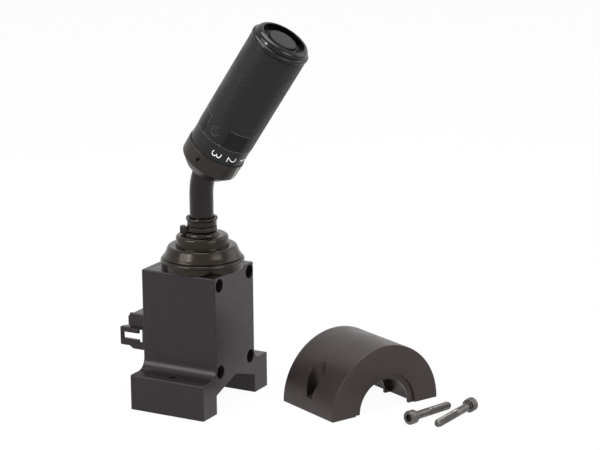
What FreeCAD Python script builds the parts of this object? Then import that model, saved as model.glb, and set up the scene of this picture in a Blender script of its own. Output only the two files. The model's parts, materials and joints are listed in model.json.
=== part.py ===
import FreeCAD, Part
import math
import os
import re

import Sketcher
from FreeCAD import Placement, Rotation, Vector

# Column-mounted gear selector: a lever with a twist grip on a clamp housing.
# Frame: X runs along the steering column, Y to the rear, Z up and out of the column.
# Origin: on the column axis, in the split plane of the clamp, half-way along the housing.
# All lengths are millimetres and all angles degrees.

SIZES = {
    # housing block and its feet
    "body_width": (61, "housing along the column"),
    "body_depth": (55, "housing across the column"),
    "body_height": (100, "split plane to the top face"),
    "edge_round": (0.7, "rounding of the end edges"),
    "rim_round": (0.9, "rounding of the top edges and of the feet"),
    "foot_span": (92.6, "across both clamp feet"),
    "foot_height": (26, "thickness of a foot"),
    "foot_fillet": (8, "hollow between a foot and the block"),
    "foot_relief": (13.8, "upright part of the inner foot wall"),
    "saddle_height": (22.5, "top of the V saddle above the split plane"),
    "foot_screw_pitch": (75.6, "distance between the two clamp screws"),
    "foot_screw_core": (5, "core hole of the M6 thread"),
    # side screws, from the right face into the left cover
    "side_screw_inset": (6.15, "side screws inside the front and rear faces"),
    "side_screw_low": (29.75, "height of the lower side screws"),
    "side_screw_drop": (6.15, "upper side screws below the top face"),
    "side_bore": (10, "counterbore of a side screw"),
    "side_screw_size": (5, "thread of a side screw"),
    "side_screw_length": (25, "length of a side screw under its head"),
    "side_screw_hex": (4, "hexagon socket across the flats"),
    "side_screw_tip": (0.6, "chamfer at the tip"),
    "side_head_size": (8.5, "head of a side screw"),
    "side_head_height": (5, "height of that head"),
    # cavity and cover
    "cover_thickness": (4, "left cover plate"),
    "gasket_thickness": (0.6, "seal under the cover"),
    "cover_low": (23, "lower edge of the cover"),
    "cavity_wall": (7, "front and rear walls of the cavity"),
    "cavity_end": (5, "right wall of the cavity"),
    "cavity_floor": (38, "height of the cavity floor"),
    "roof_wall": (5, "wall over the cavity"),
    "cavity_notch": (6.5, "material left round an upper side screw"),
    "boss_length": (8, "screw boss of the cover"),
    "boss_size": (8.4, "diameter of that boss"),
    "slip": (0.15, "clearance between parts that slide together"),
    "running": (0.12, "clearance of a bearing or bush"),
    "fit": (0.05, "clearance between parts that stay together"),
    # lever opening and boot
    "lever_offset": (4.3, "lever axis to the right of the housing middle"),
    "mouth_radius": (18, "opening for the lever"),
    "collar_radius": (23, "raised collar that holds the boot"),
    "collar_height": (4, "height of that collar"),
    "boot_flange_radius": (30.4, "rubber flange"),
    "boot_flange": (7.6, "thickness of the flange"),
    "boot_bell_radius": (28.4, "big bell at its foot"),
    "boot_shoulder_radius": (24.7, "big bell at its shoulder"),
    "boot_bell_height": (9, "big bell above the flange"),
    "boot_step_radius": (19.2, "middle bell"),
    "boot_step_height": (7.6, "height of the middle bell"),
    "boot_neck_foot": (12.7, "foot of the neck"),
    "boot_cone_height": (2.6, "middle bell to the tie groove"),
    "boot_neck_radius": (9.8, "neck under the tie"),
    "boot_groove": (3.7, "width of the tie groove"),
    "boot_collar_radius": (10.8, "neck above the groove"),
    "boot_lip_radius": (11.7, "flared lip"),
    "boot_lip_height": (6.9, "tie groove to the top of the lip"),
    "boot_wall": (2, "rubber thickness"),
    "tie_width": (3.4, "cable tie"),
    "tie_thickness": (1.1, "thickness of the tie strap"),
    "tie_head": (4.8, "height of the tie's head"),
    # lever and pivot
    "tube_size": (17.2, "outside diameter of the lever tube"),
    "tube_wall": (2.6, "wall of the tube"),
    "tube_rise": (10, "pivot to the lower end of the tube"),
    "bend_height": (167.25, "height where the straight runs would meet"),
    "bend_radius": (46, "centre-line radius of the bend"),
    "grip_tilt": (33.7, "tilt of the grip towards +X"),
    "pivot_height": (66, "height of the shift pivot"),
    "pivot_pin_size": (6, "pivot pin"),
    "hub_room": (1.8, "socket of the lever hub to the pivot bushes"),
    "hub_rise": (24, "pivot to the upper end of the socket"),
    "barrel_radius": (9, "cross barrel of the hub"),
    "barrel_play": (0.6, "play between that barrel and each bush"),
    "sector_radius": (20, "detent sector of the hub"),
    "sector_thickness": (8, "thickness of the sector"),
    "shift_step": (12, "tilt from neutral to forward or reverse"),
    "notch_radius": (3, "detent notch"),
    "magnet_gap": (2.2, "air between the magnet and the sensors"),
    "bracket_room": (2.5, "pivot bracket to the cavity walls"),
    "bracket_sheet": (2.5, "sheet of the bracket"),
    "bracket_width": (26, "bracket along the column"),
    "bush_flange": (1.2, "flange of a pivot bush"),
    "bush_wall": (1.5, "wall of a pivot bush"),
    "bush_rim": (3, "flange of a pivot bush beyond its bore"),
    "leaf_thickness": (0.8, "detent leaf spring"),
    # electronics and plug socket
    "board_gap": (5, "cover to circuit board"),
    "board_thickness": (1.6, "circuit board"),
    "board_margin": (3.5, "circuit board to the cavity walls"),
    "board_low": (43, "lower edge of the board"),
    "board_top_room": (11, "upper edge of the board below the cavity roof"),
    "board_screw_size": (2, "screw of the board"),
    "board_head_size": (4, "head of that screw"),
    "board_head_height": (1.4, "height of that head"),
    "board_screw_reach": (4, "board screw beyond the board"),
    "sensor_height": (1.5, "sensor on the board"),
    "socket_reach": (22.6, "plug socket beyond the cover"),
    "socket_width": (24, "plug socket across the column"),
    "socket_low": (51, "underside of the socket"),
    "socket_height": (9.1, "height of the socket"),
    "socket_wall": (1.6, "wall of the socket"),
    "socket_depth": (12, "depth of the socket"),
    "lid_height": (1.8, "upper part of the socket, set back from the lower"),
    "lid_inset": (0.7, "how far it is set back"),
    "latch_gap": (2.7, "cut-out for the latch of the plug"),
    "wing_thickness": (2.2, "tie wing beside the socket"),
    "wing_reach": (28.5, "tie wing beyond the cover"),
    "wing_drop": (1, "top of the wing below the socket"),
    "wing_height": (13.8, "free end of the wing"),
    "wing_root_drop": (2, "how much lower the wing is at its root"),
    "wing_step": (20.5, "where the underside steps down"),
    "shelf_thickness": (1.6, "shelf behind the top edge of the wing"),
    "shelf_depth": (6, "depth of that shelf"),
    "slot_rim": (2.3, "wing left beyond the slot"),
    "slot_start": (9.5, "cross bar of the slot beyond the cover"),
    "slot_bar": (3.4, "width of the cross bar"),
    "slot_bar_rim": (3.4, "wing left under the cross bar"),
    "slot_stem_rim": (5.1, "wing left under the stem of the slot"),
    "slot_stem": (4.9, "height of the stem"),
    "pin_count": (6, "contact pins"),
    "pin_pitch": (3, "distance between the pins"),
    "pin_size": (1, "contact pin"),
    # grip, measured along its own axis from the bend corner
    "base_foot": (7.45, "lower end of the grip base"),
    "base_length": (18, "length of the grip base"),
    "base_cone": (6.6, "length of its lower cone"),
    "base_flare": (3.2, "how much the cone widens"),
    "base_radius": (21.75, "grip base"),
    "base_mouth": (0.6, "how much its bore widens towards the bend"),
    "base_wall": (3.5, "wall of the grip base"),
    "base_floor": (4, "floor of the grip base"),
    "base_boss_radius": (13.5, "boss round the tube"),
    "base_boss_drop": (2.9, "boss below the upper end of the base"),
    "base_screw_drop": (5.5, "set screw below the upper end of the base"),
    "base_screw_size": (4, "set screw"),
    "running_gap": (0.6, "between grip base and number ring"),
    "ring_radius": (21.1, "number ring"),
    "ring_length": (11.8, "length of the number ring"),
    "sleeve_length": (79, "length of the sleeve"),
    "sleeve_radius": (21.45, "grip sleeve"),
    "core_radius": (17.5, "core under the sleeve"),
    "core_bore": (15.5, "bore of the core"),
    "spindle_radius": (7, "spindle inside the grip"),
    "spindle_bore": (4, "lead way through the spindle"),
    "spindle_drop": (25.8, "spindle end below the sleeve's end"),
    "spindle_flange": (2.6, "flange at the spindle foot"),
    "bearing_wall": (2, "wall of a grip bearing"),
    "bearing_length": (9, "length of a grip bearing"),
    "gear_step": (32.5, "twist from one gear to the next"),
    "ball_size": (4, "detent ball"),
    "ball_circle": (12, "radius of the ball track"),
    "ball_spring_radius": (1.4, "coil radius of the detent spring"),
    "ball_spring_wire": (0.5, "wire of the detent spring"),
    "plug_size": (5.8, "plug in the sleeve"),
    "plug_rise": (7.9, "plug above the sleeve's foot"),
    "sleeve_screw_size": (2.3, "screw under the plug"),
    "sleeve_head_size": (4.6, "head of that screw"),
    "sleeve_head_height": (1.25, "height of that head"),
    "patch_length": (14.6, "smooth patch along the grip"),
    "patch_depth": (0.3, "depth of the patch"),
    "patch_turn": (44, "angle that a patch spans"),
    "patch_middle": (46, "angle from the plug to the middle of a patch"),
    "bead_radius": (21.9, "bead of the end ring"),
    "bead_height": (3, "height of the bead"),
    "end_radius": (20.2, "end ring above the bead"),
    "end_height": (7.6, "end ring beyond the sleeve"),
    "end_mouth": (16, "opening of the end ring"),
    "end_round": (3.6, "outer rounding of the end ring"),
    "button_radius": (10.35, "push button"),
    "button_drop": (1.3, "button below the end of the grip"),
    "button_travel": (2.5, "stroke of the button"),
    "button_spring_wire": (0.8, "wire of the button spring"),
    "guide_drop": (4.6, "button guide below the end of the grip"),
    "guide_thickness": (1.8, "button guide"),
    "carrier_rise": (15.3, "spindle end to the face of the switch carrier"),
    "switch_case": (5.4, "case of the button switch"),
    "switch_plunger": (0.6, "plunger of the button switch"),
    # clamp cap and its screws, laid beside the housing
    "cap_radius": (47.6, "outside of the clamp cap"),
    "cap_length": (60.4, "clamp cap along its bore"),
    "cap_bore": (26.9, "bore between the ribs"),
    "rib_radius": (22.2, "ribs that grip the 1.75 inch column tube"),
    "rib_width": (2.2, "width of a rib"),
    "rib_inset": (1.6, "outer ribs behind the end faces"),
    "cap_seat": (10, "screw seat above the split plane"),
    "cap_counterbore": (14, "counterbore of a clamp screw"),
    "cap_counterbore_shift": (1.6, "counterbore outside the screw axis"),
    "cap_slot": (6.5, "way out of the counterbore"),
    "cap_clearance": (6.6, "through hole of a clamp screw"),
    "cap_edge": (0.8, "rounding of the end edges"),
    "cap_place_x": (106.24, "cap middle along X"),
    "cap_place_y": (49.66, "cap middle along Y"),
    "cap_turn": (25.73, "how far the cap is turned"),
    "clamp_screw_size": (6, "M6 clamp screw"),
    "clamp_screw_length": (40, "length under the head"),
    "clamp_head_size": (10, "head of the clamp screw"),
    "clamp_head_height": (6, "height of the head"),
    "clamp_hex": (5, "hexagon socket across the flats"),
    "clamp_tip": (0.8, "chamfer at the tip"),
    "screw_1_x": (162.6, "first loose screw, middle of its head along X"),
    "screw_1_y": (13.6, "the same along Y"),
    "screw_1_turn": (76.5, "heading of its shank"),
    "screw_2_x": (189.9, "second loose screw, middle of its head along X"),
    "screw_2_y": (62.7, "the same along Y"),
    "screw_2_turn": (-99, "heading of its shank"),
}

DERIVED = {
    # heights and stations that follow from the sizes above
    "side_screw_pitch": "body_depth - 2 * side_screw_inset",
    "side_screw_high": "body_height - side_screw_drop",
    "side_bore_depth": "body_width - cover_thickness / 2 - gasket_thickness - fit - side_screw_length",
    "cavity_roof": "body_height - roof_wall",
    "bracket_gap": "body_depth - 2 * (cavity_wall + bracket_room + bracket_sheet)",
    "hub_radius": "bracket_gap / 2 - bush_flange - hub_room",
    "barrel_length": "bracket_gap - 2 * (bush_flange + barrel_play)",
    "board_width": "body_depth - 2 * (cavity_wall + board_margin)",
    "board_high": "cavity_roof - board_top_room",
    "boot_flange_top": "body_height + boot_flange",
    "boot_shoulder": "boot_flange_top + boot_bell_height",
    "boot_step": "boot_shoulder + boot_step_height",
    "boot_neck": "boot_step + boot_cone_height",
    "boot_tie": "boot_neck + boot_groove",
    "boot_top": "boot_tie + boot_lip_height",
    "tube_foot": "pivot_height + tube_rise",
    "hub_top": "pivot_height + hub_rise",
    "board_face": "-body_width / 2 + cover_thickness + board_gap",
    "arm_reach": "lever_offset - board_face - board_thickness - sensor_height - magnet_gap",
    "socket_high": "socket_low + socket_height",
    "wing_top": "socket_low - wing_drop",
    "wing_low": "wing_top - wing_height",
    "wing_root_low": "wing_low - wing_root_drop",
    "base_top": "base_foot + base_length",
    "base_boss_top": "base_top - base_boss_drop",
    "base_screw_station": "base_top - base_screw_drop",
    "ring_foot": "base_top + running_gap",
    "sleeve_foot": "ring_foot + ring_length",
    "sleeve_top": "sleeve_foot + sleeve_length",
    "plug_station": "sleeve_foot + plug_rise",
    "spindle_top": "sleeve_top - spindle_drop",
    "end_top": "sleeve_top + end_height",
    "button_top": "end_top - button_drop",
    "guide_top": "end_top - guide_drop",
    "carrier_face": "spindle_top + carrier_rise",
    "screw_lean": "atan((clamp_head_size - clamp_screw_size) / 2 / (clamp_screw_length - clamp_tip)) / 1deg",
}

doc = FreeCAD.newDocument("selector")
sheet = doc.addObject("Spreadsheet::Sheet", "sizes")
for row, (name, (number, note)) in enumerate(SIZES.items(), start=1):
    sheet.set(f"A{row}", name)
    sheet.set(f"B{row}", str(number))
    sheet.setAlias(f"B{row}", name)
    sheet.set(f"C{row}", note)
for row, (name, formula) in enumerate(DERIVED.items(), start=len(SIZES) + 1):
    sheet.set(f"A{row}", name)
    sheet.set(f"B{row}", "=" + formula)
    sheet.setAlias(f"B{row}", name)
doc.recompute()

NAMES = {*SIZES, *DERIVED}
NODES = []


def bound(formula):
    """Formula with each size written as a cell of the sheet."""
    return re.sub(r"[a-z]\w+", lambda word: "sizes." * (word.group() in NAMES) + word.group(), formula)


def value(formula):
    """Present value of a formula."""
    return float(sheet.evalExpression(formula))


def bind(thing, **formulas):
    """Tie properties of an object to the sheet."""
    for key, formula in formulas.items():
        thing.setExpression(key, bound(formula))


def place(thing, x="0", y="0", z="0", axis=(0, 0, 1), turn="0"):
    """Put an object at a place and turn that follow the sheet."""
    thing.Placement = Placement(Vector(value(x), value(y), value(z)), Rotation(Vector(*axis), value(turn)))
    for key, formula in (("x", x), ("y", y), ("z", z)):
        thing.setExpression(f"Placement.Base.{key}", bound(formula))
    if turn != "0":
        thing.setExpression("Placement.Rotation.Angle", bound(f"({turn}) * 1deg"))
    return thing


def on_lever(thing):
    """Stand an object on the lever axis."""
    return place(thing, x="lever_offset")


def on_grip(thing):
    """Stand an object on the grip axis, its own Z from the bend corner outwards."""
    return place(thing, x="lever_offset", z="bend_height", axis=(0, 1, 0), turn="grip_tilt")


def keep(thing, name):
    """Name a finished sub-part."""
    thing.Label = name
    NODES.append(thing)
    return thing


def new_body(name):
    return doc.addObject("PartDesign::Body", name + "_body")


def sketch_on(body, role, offset="0"):
    """Empty sketch on one of the body's own origin planes, moved along its normal."""
    plane = next(item for item in body.Origin.OriginFeatures if item.Role == role)
    sketch = body.newObject("Sketcher::SketchObject", "sketch")
    sketch.AttachmentSupport = [(plane, "")]
    sketch.MapMode = "FlatFace"
    sketch.AttachmentOffset = Placement(Vector(0, 0, value(offset)), Rotation())
    sketch.setExpression("AttachmentOffset.Base.z", bound(offset))
    return sketch


def fix_point(sketch, item, end, x, y):
    """Hold a point at a place given by two formulas."""
    for kind, formula in (("DistanceX", x), ("DistanceY", y)):
        rule = sketch.addConstraint(Sketcher.Constraint(kind, -1, 1, item, end, value(formula)))
        sketch.setExpression(f"Constraints[{rule}]", bound(formula))


def add_circle(sketch, x, y, radius):
    """Circle whose centre and radius follow the sheet."""
    item = sketch.addGeometry(Part.Circle(Vector(value(x), value(y), 0), Vector(0, 0, 1), value(radius)))
    fix_point(sketch, item, 3, x, y)
    rule = sketch.addConstraint(Sketcher.Constraint("Radius", item, value(radius)))
    sketch.setExpression(f"Constraints[{rule}]", bound(radius))


def add_outline(sketch, corners):
    """Closed outline; a corner is X and Y, and a third formula rounds it."""
    points = [Vector(value(corner[0]), value(corner[1]), 0) for corner in corners]
    count = len(points)
    starts, ends, arcs = [], [], {}
    for index, point in enumerate(points):
        before = (points[index - 1] - point).normalize()
        after = (points[(index + 1) % count] - point).normalize()
        radius = value(corners[index][2]) if len(corners[index]) > 2 else 0
        half = before.getAngle(after) / 2
        reach = radius / math.tan(half) if radius else 0
        ends.append(point + before * reach)
        starts.append(point + after * reach)
        if radius:
            middle = point + (before + after).normalize() * (radius / math.sin(half))
            leftwards = after.cross(before).z > 0
            first, last = (ends[-1], starts[-1]) if leftwards else (starts[-1], ends[-1])
            angles = [math.atan2(end.y - middle.y, end.x - middle.x) for end in (first, last)]
            if angles[1] < angles[0]:
                angles[1] += 2 * math.pi
            arcs[index] = (Part.ArcOfCircle(Part.Circle(middle, Vector(0, 0, 1), radius), *angles), leftwards)
    lines = [sketch.addGeometry(Part.LineSegment(starts[i], ends[(i + 1) % count])) for i in range(count)]
    for index, corner in enumerate(corners):
        line, previous = lines[index], lines[index - 1]
        if index not in arcs:
            sketch.addConstraint(Sketcher.Constraint("Coincident", previous, 2, line, 1))
            fix_point(sketch, line, 1, corner[0], corner[1])
            continue
        shape, leftwards = arcs[index]
        arc = sketch.addGeometry(shape)
        tip = sketch.addGeometry(Part.Point(points[index]), True)
        fix_point(sketch, tip, 1, corner[0], corner[1])
        sketch.addConstraint(Sketcher.Constraint("PointOnObject", tip, 1, previous))
        sketch.addConstraint(Sketcher.Constraint("PointOnObject", tip, 1, line))
        sketch.addConstraint(Sketcher.Constraint("Tangent", previous, 2, arc, 1 if leftwards else 2))
        sketch.addConstraint(Sketcher.Constraint("Tangent", line, 1, arc, 2 if leftwards else 1))
        rule = sketch.addConstraint(Sketcher.Constraint("Radius", arc, value(corner[2])))
        sketch.setExpression(f"Constraints[{rule}]", bound(corner[2]))


def pad(body, sketch, length, middle=False, back=False):
    """Thicken a sketch into the body."""
    feature = body.newObject("PartDesign::Pad", "pad")
    feature.Profile = sketch
    bind(feature, Length=length)
    feature.Midplane = middle
    feature.Reversed = back
    return feature


def pocket(body, sketch, length=None, middle=False, back=False):
    """Cut a sketch out of the body, right through when no length is given."""
    doc.recompute()
    before = body.Shape.Volume
    feature = body.newObject("PartDesign::Pocket", "pocket")
    feature.Profile = sketch
    feature.Midplane = middle
    feature.Reversed = back
    if length is None:
        feature.Type = "ThroughAll"
    else:
        bind(feature, Length=length)
    doc.recompute()
    if body.Shape.Volume > before - 1e-3:
        raise RuntimeError(f"a pocket of {body.Name} removes nothing")
    return feature


def turn(body, corners):
    """Revolve an outline of radius and height round the body's Z axis."""
    sketch = sketch_on(body, "XZ_Plane")
    add_outline(sketch, corners)
    feature = body.newObject("PartDesign::Revolution", "turn")
    feature.Profile = sketch
    feature.ReferenceAxis = (sketch, ["V_Axis"])
    feature.Angle = 360
    return feature


def turned(name, corners):
    """Body made by one revolved outline."""
    body = new_body(name)
    turn(body, corners)
    return body


def ring_corners(inner, outer, low, high):
    """Rectangular section of a ring, or of a disc when the inner radius is zero."""
    return [(inner, low), (outer, low), (outer, high), (inner, high)]


def soften(body, radius, chosen):
    """Round the edges of the body that a test picks out."""
    doc.recompute()
    tip = body.Tip
    names = [f"Edge{n}" for n, edge in enumerate(tip.Shape.Edges, start=1) if chosen(edge)]
    feature = body.newObject("PartDesign::Fillet", "soften")
    feature.Base = (tip, names)
    bind(feature, Radius=radius)
    return feature


def along(edge, axis):
    """Whether an edge is straight and runs along an axis."""
    if not isinstance(edge.Curve, Part.Line):
        return False
    return abs(edge.Curve.Direction.dot(axis)) > 0.999


def cylinder(radius, height, x="0", y="0", z="0", axis=(0, 0, 1), turn_by="0"):
    """Round bar from a place along its turned Z axis."""
    item = doc.addObject("Part::Cylinder", "bar")
    bind(item, Radius=radius, Height=height)
    return place(item, x, y, z, axis, turn_by)


def block(length, width, height, x, y, z):
    """Rectangular block from its lowest corner."""
    item = doc.addObject("Part::Box", "block")
    bind(item, Length=length, Width=width, Height=height)
    return place(item, x, y, z)


def fused(*items):
    union = doc.addObject("Part::MultiFuse", "union")
    union.Shapes = list(items)
    return union


def cut(base, *tools):
    """Base with all the tools taken away."""
    result = doc.addObject("Part::Cut", "cut")
    result.Base = base
    result.Tool = tools[0] if len(tools) == 1 else fused(*tools)
    return result


def group(*items):
    """Several separate solids that share a node."""
    result = doc.addObject("Part::Compound", "group")
    result.Links = list(items)
    return result


def put_in(thing, holder):
    """Give a piece the place of its holder on top of its own."""
    result = doc.addObject("Part::Compound", "placed")
    result.Links = [thing]
    return holder(result)


def cap_screw(size, length, head_size, head_height, hexagon, tip):
    """Socket head cap screw: head top at zero, shank along +Z."""
    body = new_body("screw")
    turn(body, [
        ("0", "0"),
        (f"{head_size} / 2", "0", f"{head_height} / 12"),
        (f"{head_size} / 2", head_height),
        (f"{size} / 2", head_height),
        (f"{size} / 2", f"{head_height} + {length} - {tip}"),
        (f"{size} / 2 - {tip}", f"{head_height} + {length}"),
        ("0", f"{head_height} + {length}"),
    ])
    sketch = sketch_on(body, "XY_Plane")
    corner = f"({hexagon}) / 2 / cos(30deg)"
    add_outline(sketch, [
        (f"{corner} * cos({60 * n}deg)", f"{corner} * sin({60 * n}deg)") for n in range(6)
    ])
    pocket(body, sketch, f"{head_height} / 2", back=True)
    return body


# Housing: block, feet and saddle


def make_slab():
    """Rounded block with both feet, later shared out between the housing and its cover."""
    body = new_body("slab")
    profile = sketch_on(body, "YZ_Plane")
    half = "body_depth / 2"
    add_outline(profile, [
        ("-foot_span / 2", "0"),
        (f"-({half})", "0"),
        (f"-({half})", "foot_relief"),
        ("0", "saddle_height", "edge_round"),
        (half, "foot_relief"),
        (half, "0"),
        ("foot_span / 2", "0"),
        ("foot_span / 2", "foot_height", "rim_round"),
        (half, "foot_height", "foot_fillet"),
        (half, "body_height", "rim_round"),
        (f"-({half})", "body_height", "rim_round"),
        (f"-({half})", "foot_height", "foot_fillet"),
        ("-foot_span / 2", "foot_height", "rim_round"),
    ])
    pad(body, profile, "body_width", middle=True)
    foot_top = value("foot_height")
    soften(body, "edge_round", lambda edge: along(edge, Vector(0, 0, 1)) and edge.BoundBox.ZMax > foot_top)
    return body


def cover_blank(thickness):
    """Box over the left end of the slab, from its face inwards."""
    return block(thickness, "body_depth", "body_height - cover_low + 1",
                 "-body_width / 2", "-body_depth / 2", "cover_low")


def make_housing(slab):
    body = new_body("housing")
    body.BaseFeature = cut(slab, cover_blank("cover_thickness + gasket_thickness"))
    doc.recompute()

    # collar for the boot and opening for the lever
    sketch = sketch_on(body, "XY_Plane", "body_height")
    add_circle(sketch, "lever_offset", "0", "collar_radius")
    pad(body, sketch, "collar_height")
    sketch = sketch_on(body, "XY_Plane", "cavity_roof")
    add_circle(sketch, "lever_offset", "0", "mouth_radius")
    pocket(body, sketch, "body_height + collar_height - cavity_roof", back=True)

    # cavity behind the cover and sockets for the cover bosses
    left = "-body_width / 2"
    recess = "cover_thickness + gasket_thickness"
    wide = "body_depth / 2 - cavity_wall"
    narrow = "side_screw_pitch / 2 - cavity_notch"
    step = "side_screw_high - cavity_notch"
    sketch = sketch_on(body, "YZ_Plane", left)
    add_outline(sketch, [
        (f"-({wide})", "cavity_floor", "edge_round"),
        (wide, "cavity_floor", "edge_round"),
        (wide, step),
        (narrow, step),
        (narrow, "cavity_roof"),
        (f"-({narrow})", "cavity_roof"),
        (f"-({narrow})", step),
        (f"-({wide})", step),
    ])
    pocket(body, sketch, "body_width - cavity_end", back=True)

    sockets = sketch_on(body, "YZ_Plane", left)
    seats = sketch_on(body, "YZ_Plane", "body_width / 2")
    shanks = sketch_on(body, "YZ_Plane", "body_width / 2")
    for side in ("-", ""):
        for height in ("side_screw_low", "side_screw_high"):
            add_circle(sockets, f"{side}side_screw_pitch / 2", height, "boss_size / 2 + 2 * slip")
            add_circle(seats, f"{side}side_screw_pitch / 2", height, "side_bore / 2")
            add_circle(shanks, f"{side}side_screw_pitch / 2", height, "side_screw_size / 2 + 2 * slip")
    pocket(body, sockets, f"{recess} + boss_length + 2 * slip", back=True)
    pocket(body, seats, "side_bore_depth")
    pocket(body, shanks)

    # tapped holes of the feet and of the bracket
    sketch = sketch_on(body, "XY_Plane")
    for side in ("-", ""):
        add_circle(sketch, "0", f"{side}foot_screw_pitch / 2", "foot_screw_core / 2")
    pocket(body, sketch, "foot_height + 1", back=True)
    sketch = sketch_on(body, "XY_Plane", "cavity_floor")
    for side in ("-", "+"):
        add_circle(sketch, f"lever_offset {side} bracket_width / 2 - 2.4 * {side}1", "bracket_gap / 4", "1.6")
    pocket(body, sketch, "8")
    return keep(body, "housing_body")


def make_cover(slab):
    """Plate that closes the left side, with bosses for the side screws and posts for the board."""
    blank = doc.addObject("Part::Common", "blank")
    blank.Base = slab
    blank.Tool = cover_blank("cover_thickness")
    body = new_body("cover")
    body.BaseFeature = blank
    doc.recompute()
    inner = "-body_width / 2 + cover_thickness"
    bosses = sketch_on(body, "YZ_Plane", inner)
    threads = sketch_on(body, "YZ_Plane", "-body_width / 2 + cover_thickness / 2")
    for side in ("-", ""):
        for height in ("side_screw_low", "side_screw_high"):
            add_circle(bosses, f"{side}side_screw_pitch / 2", height, "boss_size / 2")
            add_circle(threads, f"{side}side_screw_pitch / 2", height, "side_screw_size / 2 + fit")
    pad(body, bosses, "gasket_thickness + boss_length")
    posts = sketch_on(body, "YZ_Plane", inner)
    holes = sketch_on(body, "YZ_Plane", inner)
    for side in ("-", "+"):
        for height in ("board_low + 3", "board_high - 3"):
            add_circle(posts, f"{side}(board_width / 2 - 3)", height, "2.4")
            add_circle(holes, f"{side}(board_width / 2 - 3)", height, "board_screw_size / 2 + fit")
    pad(body, posts, "board_gap")
    pocket(body, threads, back=True)
    pocket(body, holes, "board_gap", back=True)
    window = sketch_on(body, "YZ_Plane", "-body_width / 2")
    tall = "(socket_high + socket_low) / 2"
    reach = "(pin_count - 1) * pin_pitch / 2 + 1.5 + slip"
    add_outline(window, [
        (f"-({reach})", f"{tall} - 1.5 - slip"),
        (reach, f"{tall} - 1.5 - slip"),
        (reach, f"{tall} + 1.5 + slip"),
        (f"-({reach})", f"{tall} + 1.5 + slip"),
    ])
    pocket(body, window, "cover_thickness", back=True)
    return keep(body, "side_cover")


def make_gasket():
    body = new_body("gasket")
    edge = "body_depth / 2 - fit"
    wide = "body_depth / 2 - cavity_wall"
    sketch = sketch_on(body, "YZ_Plane", "-body_width / 2 + cover_thickness")
    add_outline(sketch, [
        (f"-({edge})", "cover_low + fit"),
        (edge, "cover_low + fit"),
        (edge, "body_height - fit", "rim_round"),
        (f"-({edge})", "body_height - fit", "rim_round"),
    ])
    narrow = "side_screw_pitch / 2 - cavity_notch"
    step = "side_screw_high - cavity_notch"
    add_outline(sketch, [
        (f"-({wide})", "cavity_floor"),
        (wide, "cavity_floor"),
        (wide, step),
        (narrow, step),
        (narrow, "cavity_roof"),
        (f"-({narrow})", "cavity_roof"),
        (f"-({narrow})", step),
        (f"-({wide})", step),
    ])
    for side in ("-", ""):
        for height in ("side_screw_low", "side_screw_high"):
            add_circle(sketch, f"{side}side_screw_pitch / 2", height, "boss_size / 2 + slip")
    pad(body, sketch, "gasket_thickness")
    return keep(body, "cover_gasket")


def make_side_screws():
    screws = []
    for side in ("-", ""):
        for height in ("side_screw_low", "side_screw_high"):
            screw = cap_screw("side_screw_size", "side_screw_length", "side_head_size",
                              "side_head_height", "side_screw_hex", "side_screw_tip")
            seat = "body_width / 2 - side_bore_depth + side_head_height"
            place(screw, seat, f"{side}side_screw_pitch / 2", height, (0, 1, 0), "-90")
            screws.append(screw)
    return keep(group(*screws), "side_screws")


# Plug socket and electronics


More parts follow.
